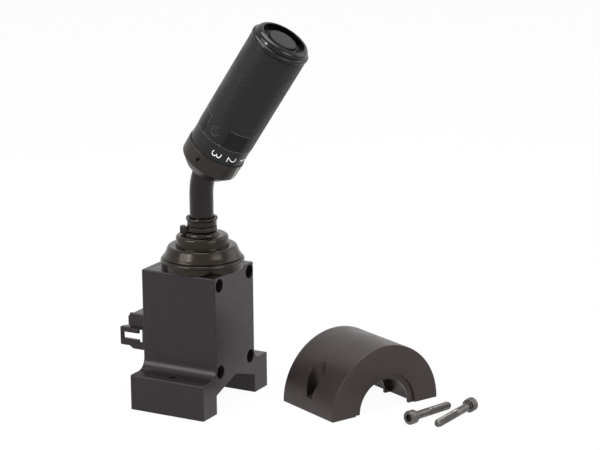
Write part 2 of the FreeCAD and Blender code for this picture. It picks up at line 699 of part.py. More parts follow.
def make_socket():
    """Plug socket on the cover, with a slotted wing that a cable tie goes through."""
    body = new_body("socket")
    face = "-body_width / 2"
    half = "socket_width / 2"
    tall = "(socket_high + socket_low) / 2"
    sketch = sketch_on(body, "YZ_Plane", face)
    add_outline(sketch, [
        (f"-({half})", "socket_low"),
        (half, "socket_low", "1"),
        (half, "socket_high - lid_height", "0.3"),
        (f"-({half})", "socket_high - lid_height", "0.3"),
    ])
    pad(body, sketch, "socket_reach", back=True)
    lid = sketch_on(body, "YZ_Plane", face)
    narrow = f"{half} - lid_inset"
    add_outline(lid, [
        (f"-({narrow})", "socket_low + socket_wall"),
        (narrow, "socket_low + socket_wall"),
        (narrow, "socket_high", "0.9"),
        (f"-({narrow})", "socket_high", "0.9"),
    ])
    pad(body, lid, "socket_reach - lid_inset", back=True)
    base = sketch_on(body, "YZ_Plane", face)
    add_outline(base, [
        (f"-({half} + wing_thickness)", "wing_root_low"),
        (half, "wing_root_low", "2"),
        (half, "socket_low + 1"),
        (f"-({half} - 0.5)", "socket_low + 1"),
        (f"-({half} - 0.5)", "wing_top"),
        (f"-({half} + wing_thickness)", "wing_top"),
    ])
    pad(body, base, "2", back=True)
    spigot = sketch_on(body, "YZ_Plane", face)
    reach = "(pin_count - 1) * pin_pitch / 2 + 1.5"
    add_outline(spigot, [
        (f"-({reach})", f"{tall} - 1.5"),
        (reach, f"{tall} - 1.5"),
        (reach, f"{tall} + 1.5"),
        (f"-({reach})", f"{tall} + 1.5"),
    ])
    pad(body, spigot, "cover_thickness")

    # wing, and the shelf behind its top edge that carries the socket
    wing = sketch_on(body, "XZ_Plane", half)
    add_outline(wing, [
        (face, "wing_root_low"),
        (f"{face} - wing_step + 2.5", "wing_root_low", "4.5"),
        (f"{face} - wing_step", "wing_low", "1.2"),
        (f"{face} - wing_reach", "wing_low", "1"),
        (f"{face} - wing_reach", "wing_top", "0.8"),
        (face, "wing_top"),
    ])
    pad(body, wing, "wing_thickness")
    shelf = sketch_on(body, "XY_Plane", "wing_top - shelf_thickness")
    add_outline(shelf, [
        (face, f"-({half}) - 0.5"),
        (face, f"-({half}) + shelf_depth"),
        (f"{face} - socket_reach", f"-({half}) + shelf_depth"),
        (f"{face} - wing_reach + 0.8", f"-({half}) + 0.4"),
        (f"{face} - wing_reach + 0.8", f"-({half}) - 0.5"),
    ])
    pad(body, shelf, "shelf_thickness")
    rise = sketch_on(body, "XY_Plane", "wing_top - shelf_thickness / 2")
    add_outline(rise, [
        (face, f"-({half}) + 0.8"),
        (face, f"-({half}) + shelf_depth"),
        (f"{face} - socket_reach + 1", f"-({half}) + shelf_depth"),
        (f"{face} - socket_reach + 1", f"-({half}) + 0.8"),
    ])
    pad(body, rise, "shelf_thickness / 2 + wing_drop + 0.5")
    slot = sketch_on(body, "XZ_Plane", f"{half} + wing_thickness")
    tip = f"{face} - wing_reach + slot_rim"
    far = f"{face} - slot_start - slot_bar"
    near = f"{face} - slot_start"
    add_outline(slot, [
        (tip, "wing_low + slot_stem_rim"),
        (far, "wing_low + slot_stem_rim"),
        (far, "wing_low + slot_bar_rim"),
        (near, "wing_low + slot_bar_rim"),
        (near, "wing_top - 0.6"),
        (far, "wing_top - 0.6"),
        (far, "wing_low + slot_stem_rim + slot_stem"),
        (tip, "wing_low + slot_stem_rim + slot_stem"),
    ])
    pocket(body, slot, "wing_thickness + shelf_depth")

    mouth = sketch_on(body, "YZ_Plane", f"{face} - socket_reach")
    inner = f"{half} - socket_wall"
    add_outline(mouth, [
        (f"-({inner})", "socket_low + socket_wall"),
        (inner, "socket_low + socket_wall"),
        (inner, "socket_high - socket_wall"),
        (f"-({inner})", "socket_high - socket_wall"),
    ])
    pocket(body, mouth, "socket_depth", back=True)
    latch = sketch_on(body, "XY_Plane", "socket_high - socket_wall - 0.2")
    add_outline(latch, [
        (f"{face} - socket_reach - 1", f"-({half} - lid_inset - 2.6)"),
        (f"{face} - socket_reach + latch_gap", f"-({half} - lid_inset - 2.6)"),
        (f"{face} - socket_reach + latch_gap", f"{half} - lid_inset - 2.6"),
        (f"{face} - socket_reach - 1", f"{half} - lid_inset - 2.6"),
    ])
    pocket(body, latch, back=True)
    ways = sketch_on(body, "YZ_Plane", f"{face} - socket_reach")
    for n in range(int(value("pin_count"))):
        add_circle(ways, f"({n} - (pin_count - 1) / 2) * pin_pitch", tall, "pin_size / 2 + fit")
    pocket(body, ways, back=True)
    return keep(body, "plug_socket")


def make_pins():
    tall = "(socket_high + socket_low) / 2"
    start = "-body_width / 2 - socket_reach + socket_depth / 2 - 0.5"
    end = "board_face + board_thickness + 1"
    pins = [
        cylinder("pin_size / 2", f"{end} - ({start})", start, f"({n} - (pin_count - 1) / 2) * pin_pitch", tall,
                 (0, 1, 0), "90")
        for n in range(int(value("pin_count")))
    ]
    return keep(group(*pins), "contact_pins")


def make_board():
    """Circuit board on the posts of the cover, with its sensors and screws."""
    body = new_body("board")
    sketch = sketch_on(body, "YZ_Plane", "board_face")
    half = "board_width / 2"
    tall = "(socket_high + socket_low) / 2"
    add_outline(sketch, [
        (f"-({half})", "board_low", "2"),
        (half, "board_low", "2"),
        (half, "board_high", "2"),
        (f"-({half})", "board_high", "2"),
    ])
    for side in ("-", "+"):
        for height in ("board_low + 3", "board_high - 3"):
            add_circle(sketch, f"{side}(board_width / 2 - 3)", height, "board_screw_size / 2 + 0.2")
    for n in range(int(value("pin_count"))):
        add_circle(sketch, f"({n} - (pin_count - 1) / 2) * pin_pitch", tall, "pin_size / 2 + fit")
    pad(body, sketch, "board_thickness")
    keep(body, "circuit_board")

    front = "board_face + board_thickness"
    spread = "arm_reach * sin(shift_step * 1deg)"
    chips = [
        block("sensor_height", "3.6", "3", front, "-1.8", f"pivot_height - 1.5 + ({n}) * {spread}")
        for n in (-1, 0, 1)
    ]
    keep(group(*chips), "position_sensors")

    screws = []
    for side in ("-", "+"):
        for height in ("board_low + 3", "board_high - 3"):
            screw = turned("board_screw", [
                ("0", "-board_head_height"),
                ("board_head_size / 2", "-board_head_height", "board_head_height / 2"),
                ("board_head_size / 2", "0"),
                ("board_screw_size / 2", "0"),
                ("board_screw_size / 2", "board_thickness + board_screw_reach - 0.5"),
                ("0", "board_thickness + board_screw_reach"),
            ])
            place(screw, front, f"{side}(board_width / 2 - 3)", height, (0, 1, 0), "-90")
            screws.append(screw)
    keep(group(*screws), "board_screws")


# Pivot bracket, detent and lever hub


def make_bracket():
    """Bent sheet bracket that carries the shift pivot."""
    body = new_body("bracket")
    sketch = sketch_on(body, "YZ_Plane", "lever_offset")
    inner = "bracket_gap / 2"
    outer = "bracket_gap / 2 + bracket_sheet"
    low = "cavity_floor"
    top = "pivot_height + barrel_radius"
    add_outline(sketch, [
        (f"-({outer})", low, "2 * bracket_sheet"),
        (outer, low, "2 * bracket_sheet"),
        (outer, top),
        (inner, top),
        (inner, f"{low} + bracket_sheet", "bracket_sheet"),
        (f"-({inner})", f"{low} + bracket_sheet", "bracket_sheet"),
        (f"-({inner})", top),
        (f"-({outer})", top),
    ])
    pad(body, sketch, "bracket_width", middle=True)
    bore = sketch_on(body, "XZ_Plane")
    add_circle(bore, "lever_offset", "pivot_height", "pivot_pin_size / 2 + bush_wall + fit")
    pocket(body, bore, middle=True)
    feet = sketch_on(body, "XY_Plane", low)
    for side in ("-", "+"):
        add_circle(feet, f"lever_offset {side} bracket_width / 2 - 2.4 * {side}1", "bracket_gap / 4", "1.7")
    pocket(body, feet, "bracket_sheet", back=True)
    soften(body, "barrel_radius - 1", lambda edge: along(edge, Vector(0, 1, 0))
           and edge.BoundBox.ZMin > value(top) - 0.01)
    keep(body, "pivot_bracket")

    screws = []
    for side in ("-", "+"):
        screw = turned("bracket_screw", [
            ("0", "-7"), ("1.5", "-7"), ("1.5", "bracket_sheet"), ("2.75", "bracket_sheet"),
            ("2.75", "bracket_sheet + 1.8", "0.6"), ("0", "bracket_sheet + 1.8"),
        ])
        place(screw, f"lever_offset {side} bracket_width / 2 - 2.4 * {side}1", "bracket_gap / 4", low)
        screws.append(screw)
    keep(group(*screws), "bracket_screws")

    bushes = []
    for side, turn_by in (("-", "90"), ("+", "-90")):
        bush = turned("bush", [
            ("pivot_pin_size / 2 + running", "-bush_flange"),
            ("pivot_pin_size / 2 + bush_rim", "-bush_flange"),
            ("pivot_pin_size / 2 + bush_rim", "0"),
            ("pivot_pin_size / 2 + bush_wall", "0"),
            ("pivot_pin_size / 2 + bush_wall", "bracket_sheet"),
            ("pivot_pin_size / 2 + running", "bracket_sheet"),
        ])
        place(bush, "lever_offset", f"{side}bracket_gap / 2", "pivot_height", (1, 0, 0), turn_by)
        bushes.append(bush)
    keep(group(*bushes), "pivot_bushes")

    nose = "pivot_height - sector_radius + 0.9"
    leaf = new_body("leaf")
    sketch = sketch_on(leaf, "XZ_Plane")
    seat = "cavity_floor + bracket_sheet"
    add_outline(sketch, [
        ("lever_offset - bracket_width / 2 + 1", seat),
        ("lever_offset - bracket_width / 2 + 8", seat),
        ("lever_offset - 2.6", f"{nose} - 3.4"),
        ("lever_offset", f"{nose} - leaf_thickness", "1.2"),
        ("lever_offset + 2.6", f"{nose} - 3.4"),
        ("lever_offset + 9", f"{nose} - 4.6"),
        ("lever_offset + 9", f"{nose} - 4.6 + leaf_thickness"),
        ("lever_offset + 3", f"{nose} - 3.4 + leaf_thickness"),
        ("lever_offset", nose, "2"),
        ("lever_offset - 3", f"{nose} - 3.4 + leaf_thickness"),
        ("lever_offset - bracket_width / 2 + 7.4", f"{seat} + leaf_thickness"),
        ("lever_offset - bracket_width / 2 + 1", f"{seat} + leaf_thickness"),
    ])
    pad(leaf, sketch, "sector_thickness - 1", middle=True)
    keep(leaf, "detent_leaf")


def make_hub():
    """Hub at the foot of the lever: tube socket, pivot barrel, detent sector and magnet arm."""
    middle = ("lever_offset", "pivot_height")
    socket = cylinder("hub_radius", "hub_top - pivot_height", middle[0], "0", middle[1])
    barrel = cylinder("barrel_radius", "barrel_length", middle[0], "barrel_length / 2", middle[1],
                      (1, 0, 0), "90")
    body = new_body("sector")
    sketch = sketch_on(body, "XZ_Plane")
    spread = "shift_step + 14"
    side = f"sector_radius * sin(({spread}) * 1deg)"
    low = f"sector_radius * cos(({spread}) * 1deg)"
    add_outline(sketch, [
        (f"{middle[0]} - 0.8 * barrel_radius", f"{middle[1]} + 0.2 * barrel_radius"),
        (f"{middle[0]} - {side}", f"{middle[1]} - {low}"),
        (f"{middle[0]} - {side} / 2", f"{middle[1]} - sector_radius", "sector_radius / 2"),
        (f"{middle[0]} + {side} / 2", f"{middle[1]} - sector_radius", "sector_radius / 2"),
        (f"{middle[0]} + {side}", f"{middle[1]} - {low}"),
        (f"{middle[0]} + 0.8 * barrel_radius", f"{middle[1]} + 0.2 * barrel_radius"),
    ])
    pad(body, sketch, "sector_thickness", middle=True)
    arm = block("arm_reach - 2", "sector_thickness", "7", f"{middle[0]} - arm_reach",
                "-sector_thickness / 2", f"{middle[1]} - 3.5")
    notches = []
    for step in (-1, 0, 1):
        angle = f"({step}) * shift_step * 1deg"
        away = "(sector_radius + notch_radius - 1.2)"
        notches.append(cylinder("notch_radius", "sector_thickness + 2",
                                f"{middle[0]} + {away} * sin({angle})", "sector_thickness / 2 + 1",
                                f"{middle[1]} - {away} * cos({angle})", (1, 0, 0), "90"))
    bore = cylinder("tube_size / 2 + fit", "hub_top", middle[0], "0", "tube_foot - fit")
    pin_way = cylinder("pivot_pin_size / 2 + fit", "barrel_length + 2", middle[0], "barrel_length / 2 + 1",
                       middle[1], (1, 0, 0), "90")
    cross = cylinder("1.5 + fit", "2 * hub_radius + 2", middle[0], "hub_radius + 1",
                     "(hub_top + tube_foot) / 2", (1, 0, 0), "90")
    magnet_way = cylinder("2 + fit", "3.1", f"{middle[0]} - arm_reach", "0", middle[1], (0, 1, 0), "90")
    keep(cut(fused(socket, barrel, body, arm), bore, pin_way, cross, magnet_way, *notches), "lever_hub")

    keep(cylinder("2", "3", f"{middle[0]} - arm_reach", "0", middle[1], (0, 1, 0), "90"), "sensor_magnet")
    keep(cylinder("1.5", "2 * hub_radius - 1", middle[0], "hub_radius - 0.5", "(hub_top + tube_foot) / 2",
                  (1, 0, 0), "90"), "tube_pin")

    pin = turned("pivot_pin", [
        ("0", "-bracket_gap / 2 - bracket_sheet - 2", ),
        ("pivot_pin_size / 2", "-bracket_gap / 2 - bracket_sheet - 2", "0.4"),
        ("pivot_pin_size / 2", "bracket_gap / 2 + bracket_sheet + 2", "0.4"),
        ("0", "bracket_gap / 2 + bracket_sheet + 2"),
    ])
    keep(place(pin, middle[0], "0", middle[1], (1, 0, 0), "90"), "pivot_pin")
    clips = []
    for side, turn_by in (("-", "90"), ("+", "-90")):
        clip = turned("pin_clip", ring_corners("pivot_pin_size / 2 + fit", "pivot_pin_size / 2 + 2.2",
                                               "bracket_sheet + 0.3", "bracket_sheet + 1.1"))
        place(clip, middle[0], f"{side}bracket_gap / 2", middle[1], (1, 0, 0), turn_by)
        clips.append(clip)
    keep(group(*clips), "pin_clips")


def make_tube():
    """Lever tube: upright run, one bend and a straight run along the grip axis."""
    body = new_body("tube")
    path = sketch_on(body, "XZ_Plane")
    tangent = "bend_radius * tan(grip_tilt / 2 * 1deg)"
    low = Vector(value("lever_offset"), value("tube_foot"), 0)
    start = Vector(low.x, value(f"bend_height - {tangent}"), 0)
    tilt = math.radians(value("grip_tilt"))
    radius = value("bend_radius")
    centre = start + Vector(radius, 0, 0)
    end = centre + Vector(-radius * math.cos(tilt), radius * math.sin(tilt), 0)
    run = f"base_boss_top - 0.5 - {tangent}"
    tip = end + Vector(math.sin(tilt), math.cos(tilt), 0) * value(run)
    first = path.addGeometry(Part.LineSegment(low, start))
    circle = Part.Circle(centre, Vector(0, 0, 1), radius)
    bend = path.addGeometry(Part.ArcOfCircle(circle, math.pi - tilt, math.pi))
    last = path.addGeometry(Part.LineSegment(end, tip))
    fix_point(path, first, 1, "lever_offset", "tube_foot")
    fix_point(path, first, 2, "lever_offset", f"bend_height - {tangent}")
    path.addConstraint(Sketcher.Constraint("Tangent", first, 2, bend, 2))
    path.addConstraint(Sketcher.Constraint("Tangent", last, 1, bend, 1))
    for kind, items, formula in (("Radius", (bend,), "bend_radius"), ("Distance", (last,), run),
                                 ("Angle", (last,), "(90 - grip_tilt) * 1deg")):
        number = math.radians(90 - value("grip_tilt")) if kind == "Angle" else value(formula)
        rule = path.addConstraint(Sketcher.Constraint(kind, *items, number))
        path.setExpression(f"Constraints[{rule}]", bound(formula))
    section = sketch_on(body, "XY_Plane", "tube_foot")
    add_circle(section, "lever_offset", "0", "tube_size / 2")
    add_circle(section, "lever_offset", "0", "tube_size / 2 - tube_wall")
    doc.recompute()
    sweep = body.newObject("PartDesign::AdditivePipe", "sweep")
    sweep.Profile = section
    sweep.Spine = path
    doc.recompute()
    cross = sketch_on(body, "XZ_Plane")
    add_circle(cross, "lever_offset", "(hub_top + tube_foot) / 2", "1.5 + fit")
    pocket(body, cross, middle=True)
    return keep(body, "lever_tube")


def make_boot():
    """Rubber boot: flange, two bells and a neck with a groove for the tie."""
    base = "body_height"
    inside = "tube_size / 2 + slip"
    wall = "boot_wall"
    body = turned("boot", [
        ("collar_radius + slip", base),
        ("boot_flange_radius", base, "0.6"),
        ("boot_flange_radius", "boot_flange_top", "1.6"),
        ("boot_bell_radius", "boot_flange_top", "0.3"),
        ("boot_shoulder_radius", "boot_shoulder", "2.2"),
        ("boot_step_radius", "boot_shoulder", "0.3"),
        ("boot_step_radius - 0.3", "boot_step", "3.2"),
        ("boot_neck_foot", "boot_step", "0.4"),
        ("boot_neck_foot - 0.4", "boot_step + 1.6", "1.2"),
        ("boot_neck_radius", "boot_neck"),
        ("boot_neck_radius", "boot_tie"),
        ("boot_collar_radius", "boot_tie + 0.5"),
        ("boot_collar_radius", "boot_top - 3.3"),
        ("boot_lip_radius", "boot_top - 1.2", "0.8"),
        ("boot_lip_radius - 0.5", "boot_top"),
        ("boot_lip_radius - 1.7", "boot_top"),
        (inside, "boot_top - 2"),
        (inside, "boot_neck - 1"),
        (f"boot_neck_foot - {wall}", f"boot_step - {wall}"),
        (f"boot_step_radius - {wall}", f"boot_step - {wall} - 0.4"),
        (f"boot_step_radius - {wall}", f"boot_shoulder - {wall}"),
        (f"boot_shoulder_radius - {wall}", f"boot_shoulder - {wall}"),
        (f"boot_bell_radius - {wall}", "boot_flange_top"),
        ("collar_radius + slip", f"{base} + collar_height + slip"),
    ])
    keep(on_lever(body), "boot")

    # strap, with its head in front on the left and the trimmed tail beside it
    low = "boot_neck + (boot_groove - tie_width) / 2"
    strap = turned("strap", ring_corners("boot_neck_radius + fit", "boot_neck_radius + tie_thickness",
                                         low, f"{low} + tie_width"))
    on_lever(strap)
    head = block("5.6", "4", "tie_head", "0", "0", "0")
    reach = "(boot_neck_radius + tie_thickness + 3.95)"
    place(head, f"lever_offset - {reach} * cos(28deg)", f"-{reach} * sin(28deg)", "boot_neck - 0.3",
          (0, 0, 1), "-62")
    tail = block("1.3", "3.2", "tie_width", "0", "0", "0")
    place(tail, "lever_offset - (boot_neck_radius + 3.2) * cos(42deg)",
          "-(boot_neck_radius + 3.2) * sin(42deg)", low, (0, 0, 1), "-62")
    keep(fused(strap, head, tail), "cable_tie")


# Grip: each outline is radius and station along the grip axis


def make_grip_base():
    body = new_body("base")
    bore = "tube_size / 2 + slip"
    hollow = "base_radius - base_wall"
    turn(body, [
        (bore, "base_foot + base_cone"),
        (f"{bore} + base_mouth", "base_foot"),
        ("base_radius - base_flare", "base_foot", "1.6"),
        ("base_radius", "base_foot + base_cone", "3"),
        ("base_radius", "base_top", "0.5"),
        ("base_radius - 0.9", "base_top"),
        ("base_radius - 0.9", "base_top - 1.7"),
        (hollow, "base_top - 1.7"),
        (hollow, "base_foot + base_floor"),
        ("base_boss_radius", "base_foot + base_floor"),
        ("base_boss_radius", "base_boss_top"),
        (bore, "base_boss_top"),
    ])
    hole = sketch_on(body, "XZ_Plane")
    add_circle(hole, "0", "base_screw_station", "base_screw_size / 2 + fit")
    pocket(body, hole, back=True)
    threads = sketch_on(body, "XY_Plane", "base_boss_top")
    for side in ("-", ""):
        add_circle(threads, f"{side}(base_boss_radius - 2.3)", "0", "1.25 + fit")
    pocket(body, threads, "5")
    keep(on_grip(body), "grip_base")

    screw = turned("set_screw", [
        ("0", "tube_size / 2 + fit"),
        ("base_screw_size / 2 - 0.8", "tube_size / 2 + fit"),
        ("base_screw_size / 2", "tube_size / 2 + 1"),
        ("base_screw_size / 2", "base_radius - 2"),
        ("1", "base_radius - 2"),
        ("1", "base_radius - 4"),
        ("0", "base_radius - 4"),
    ])
    place(screw, "0", "0", "base_screw_station", (1, 0, 0), "90")
    keep(put_in(screw, on_grip), "base_set_screw")

    seal = turned("seal", [
        ("base_radius - 3.6", "base_top - 1.6"),
        ("base_radius - 1.1", "base_top - 1.6", "0.6"),
        ("base_radius - 1.1", "base_top + running_gap - 0.2", "0.6"),
        ("base_radius - 3.6", "base_top + running_gap - 0.2", "0.6"),
    ])
    keep(on_grip(seal), "base_seal")


def make_spindle():
    """Fixed spindle that the grip turns on, with the notched track of the gear detent."""
    body = new_body("spindle")
    foot = "base_boss_top + fit"
    face = "base_boss_top + spindle_flange"
    edge = "base_radius - base_wall - 0.8"
    turn(body, [
        ("spindle_bore", foot),
        (edge, foot),
        (edge, face),
        ("spindle_radius", face, "0.8"),
        ("spindle_radius", "spindle_top", "0.8"),
        ("spindle_bore", "spindle_top"),
    ])
    screws = sketch_on(body, "XY_Plane", face)
    sinks = sketch_on(body, "XY_Plane", face)
    for side in ("-", ""):
        add_circle(screws, f"{side}(base_boss_radius - 2.3)", "0", "1.4")
        add_circle(sinks, f"{side}(base_boss_radius - 2.3)", "0", "2.4")
    pocket(body, screws, "spindle_flange")
    pocket(body, sinks, "1.4")
    track = sketch_on(body, "XY_Plane", face)
    for n in (0, 1, 2):
        add_circle(track, f"ball_circle * cos(({n} * gear_step + 90) * 1deg)",
                   f"ball_circle * sin(({n} * gear_step + 90) * 1deg)", "1.5")
    pocket(body, track, "0.6")
    keep(on_grip(body), "grip_spindle")

    screws = []
    for side in ("-", ""):
        screw = turned("spindle_screw", [
            ("0", f"{face} - spindle_flange - 4.5"),
            ("1.25", f"{face} - spindle_flange - 4.5"),
            ("1.25", f"{face} - 1.4"),
            ("2.2", f"{face} - 1.4"),
            ("2.2", f"{face} - 0.1", "0.5"),
            ("0", f"{face} - 0.1"),
        ])
        place(screw, f"{side}(base_boss_radius - 2.3)", "0", "0")
        screws.append(screw)
    keep(put_in(group(*screws), on_grip), "spindle_screws")

    low = "ring_foot + 1.6"
    bearing = ring_corners("spindle_radius + fit", "spindle_radius + bearing_wall", low, f"{low} + bearing_length")
    keep(on_grip(turned("lower_bearing", bearing)), "lower_bearing")
    high = "spindle_top - 4 - bearing_length"
    bearing = ring_corners("spindle_radius + fit", "spindle_radius + bearing_wall", high, f"{high} + bearing_length")
    keep(on_grip(turned("upper_bearing", bearing)), "upper_bearing")
    clip = ring_corners("spindle_radius + fit", "spindle_radius + bearing_wall + 1.5",
                        "spindle_top - 3.7", "spindle_top - 2.7")
    keep(on_grip(turned("grip_clip", clip)), "grip_clip")

    switch = new_body("rotary_switch")
    turn(switch, [
        ("0", "spindle_top - 3"),
        ("spindle_bore - slip", "spindle_top - 3"),
        ("spindle_bore - slip", "spindle_top + fit"),
        ("9.5", "spindle_top + fit", "0.8"),
        ("9.5", "spindle_top + 7.5", "0.8"),
        ("0", "spindle_top + 7.5"),
    ])
    keep(on_grip(switch), "rotary_switch")


def make_grip_core():
    """Turning core of the grip: number ring, tube and the two bearing seats."""
    body = new_body("core")
    low = "ring_foot"
    seat = "spindle_radius + bearing_wall + running"
    high = "spindle_top - 4 - bearing_length"
    turn(body, [
        ("spindle_radius + 0.6", f"{low} + 0.4"),
        ("base_radius - 5.4", f"{low} + 0.4"),
        ("base_radius - 5.4", low),
        ("ring_radius", low, "0.4"),
        ("ring_radius", "sleeve_foot", "0.3"),
        ("core_radius", "sleeve_foot"),
        ("core_radius", "sleeve_top"),
        ("core_bore", "sleeve_top"),
        ("core_bore", f"{high} + bearing_length"),
        (seat, f"{high} + bearing_length"),
        (seat, f"{high} - running"),
        ("spindle_radius + 0.6", f"{high} - running"),
        ("spindle_radius + 0.6", f"{high} - 2"),
        ("core_bore", f"{high} - 2"),
        ("core_bore", f"{low} + 1.6 + bearing_length"),
        (seat, f"{low} + 1.6 + bearing_length"),
        (seat, f"{low} + 1.6 - running"),
        ("spindle_radius + 0.6", f"{low} + 1.6 - running"),
    ])
    well = sketch_on(body, "XY_Plane", low)
    add_circle(well, "0", "ball_circle", "ball_size / 2 + 0.1")
    pocket(body, well, "bearing_length - 1", back=True)
    screws = sketch_on(body, "XZ_Plane")
    add_circle(screws, "0", "plug_station", "sleeve_screw_size / 2 + fit")
    pocket(body, screws, middle=True)
    keep(on_grip(body), "grip_core")

    ball = doc.addObject("Part::Sphere", "ball")
    bind(ball, Radius="ball_size / 2")
    place(ball, "0", "ball_circle", "base_boss_top + spindle_flange + ball_size / 2 + 0.1")
    keep(put_in(ball, on_grip), "detent_ball")
    coil_low = "base_boss_top + spindle_flange + ball_size + 0.3"
    coil_top = f"{low} + bearing_length - 1.2"
    keep(put_in(make_coil("ball_spring_radius", "ball_spring_wire", coil_low, coil_top, 4, "ball_circle"), on_grip), "detent_spring")


def make_coil(radius, wire, low, high, turns, y="0"):
    """Coil spring of square wire between two heights."""
    body = new_body("coil")
    section = sketch_on(body, "XZ_Plane")
    add_outline(section, ring_corners(f"{radius} - ({wire}) / 2", f"{radius} + ({wire}) / 2", "0", wire))
    doc.recompute()
    feature = body.newObject("PartDesign::AdditiveHelix", "coil")
    feature.Profile = section
    feature.ReferenceAxis = (section, ["V_Axis"])
    feature.Mode = "height-turns-angle"
    feature.Turns = turns
    feature.Height = value(f"{high} - ({low}) - ({wire})")
    bind(feature, Height=f"{high} - ({low}) - ({wire})")
    place(body, "0", y, low)
    return body


def make_sleeve():
    """Grip sleeve with four smooth patches and the two plugs over its screws."""
    body = new_body("sleeve")
    turn(body, [
        ("core_radius + fit", "sleeve_foot + fit"),
        ("sleeve_radius", "sleeve_foot + fit", "0.4"),
        ("sleeve_radius", "sleeve_top", "0.4"),
        ("core_radius + fit", "sleeve_top"),
    ])
    holes = sketch_on(body, "XZ_Plane")
    add_circle(holes, "0", "plug_station", "plug_size / 2 + fit")
    pocket(body, holes, middle=True)
    doc.recompute()
    patches = []
    for side in (0, 1):
        for turn_sign in (-1, 1):
            patch = doc.addObject("Part::Cut", "patch")
            outer = cylinder("sleeve_radius + 1", "patch_length", z="sleeve_foot + fit")
            inner = cylinder("sleeve_radius - patch_depth", "patch_length", z="sleeve_foot + fit")
            middle = f"{90 + 180 * side} + ({turn_sign}) * patch_middle - patch_turn / 2"
            for item in (outer, inner):
                bind(item, Angle="patch_turn * 1deg")
                place(item, z="sleeve_foot + fit", turn=middle)
            patch.Base = outer
            patch.Tool = inner
            patches.append(patch)
    keep(put_in(cut(body, *patches), on_grip), "grip_sleeve")

    plugs = []
    screws = []
    for turn_by in ("90", "-90"):
        plug = turned("plug", [
            ("0", "core_radius + 1.4"),
            ("plug_size / 2", "core_radius + 1.4"),
            ("plug_size / 2", "sleeve_radius - 0.35", "0.5"),
            ("0", "sleeve_radius - 0.35"),
        ])
        plugs.append(place(plug, "0", "0", "plug_station", (1, 0, 0), turn_by))
        screw = turned("sleeve_screw", [
            ("0", "core_bore + 0.2"),
            ("sleeve_screw_size / 2", "core_bore + 0.2"),
            ("sleeve_screw_size / 2", "core_radius + fit"),
            ("sleeve_head_size / 2", "core_radius + fit"),
            ("sleeve_head_size / 2", "core_radius + fit + sleeve_head_height", "sleeve_head_height / 3"),
            ("0", "core_radius + fit + sleeve_head_height"),
        ])
        screws.append(place(screw, "0", "0", "plug_station", (1, 0, 0), turn_by))
    keep(put_in(group(*plugs), on_grip), "sleeve_plugs")
    keep(put_in(group(*screws), on_grip), "sleeve_screws")


def make_grip_end():
    """End ring, button and the switches under it."""
    ring = new_body("end_ring")
    foot = "sleeve_top + fit"
    spigot = "core_bore - slip"
    groove = "sleeve_top + bead_height + 0.7"
    turn(ring, [
        (f"{spigot} - 1.5", "carrier_face + 0.2"),
        (spigot, "carrier_face + 0.2"),
        (spigot, foot),
        ("bead_radius", foot, "1.3"),
        ("bead_radius", "sleeve_top + bead_height", "1.5"),
        ("end_radius - 0.5", groove, "0.2"),
        ("end_radius", f"{groove} + 0.4", "0.2"),
        ("end_radius - 1.3", "end_top", "end_round"),
        ("end_mouth", "end_top", "0.3"),
        ("end_mouth - 0.3", "guide_top + slip"),
        ("end_mouth", "guide_top + slip"),
        ("end_mouth", "guide_top - guide_thickness"),
        (f"{spigot} - 1.5", "guide_top - guide_thickness"),
    ])
    keep(on_grip(ring), "end_ring")

    guide = turned("guide", [
        ("button_radius + 2 * slip", "guide_top - guide_thickness + fit"),
        ("end_mouth - slip", "guide_top - guide_thickness + fit"),
        ("end_mouth - slip", "guide_top"),
        ("button_radius + 2.4", "guide_top"),
        ("button_radius + 2", "guide_top + 1.6", "0.4"),
        ("button_radius + 2 * slip", "guide_top + 1.6", "0.3"),
    ])
    keep(on_grip(guide), "button_guide")

    rim = "guide_top - guide_thickness - 1.2"
    stem = "carrier_face + 2 * fit + switch_case + switch_plunger + button_travel"
    cap = turned("button", [
        ("0", "button_top + 0.1"),
        ("button_radius", "button_top", "0.9"),
        ("button_radius", rim),
        ("button_radius + 1.3", rim),
        ("button_radius + 1.3", f"{rim} - 1.2"),
        ("button_radius - 1.6", f"{rim} - 1.2"),
        ("button_radius - 1.6", "button_top - 2.2"),
        ("2", "button_top - 2.2"),
        ("2", stem),
        ("0", stem),
    ])
    keep(on_grip(cap), "button_cap")

    carrier = ring_corners("3", "core_bore - slip", "carrier_face - 2", "carrier_face")
    keep(on_grip(turned("carrier", carrier)), "switch_carrier")
    case = block("12.8", "6.4", "switch_case", "-6.4", "-3.2", "carrier_face + fit")
    plunger = cylinder("1.2", "switch_plunger", z="carrier_face + fit + switch_case")
    keep(put_in(fused(case, plunger), on_grip), "button_switch")
    spring = make_coil("button_radius - 0.7", "button_spring_wire", "carrier_face + fit", f"{rim} - 1.25", 4)
    keep(put_in(spring, on_grip), "button_spring")

    rotor = new_body("rotor")
    turn(rotor, [
        ("0", "spindle_top + 7.8"),
        ("2.5", "spindle_top + 7.8"),
        ("2.5", "spindle_top + 10"),
        ("core_bore - slip", "spindle_top + 10"),
        ("core_bore - slip", "spindle_top + 12"),
        ("0", "spindle_top + 12"),
    ])
    keep(on_grip(rotor), "switch_rotor")


# Clamp cap and its screws


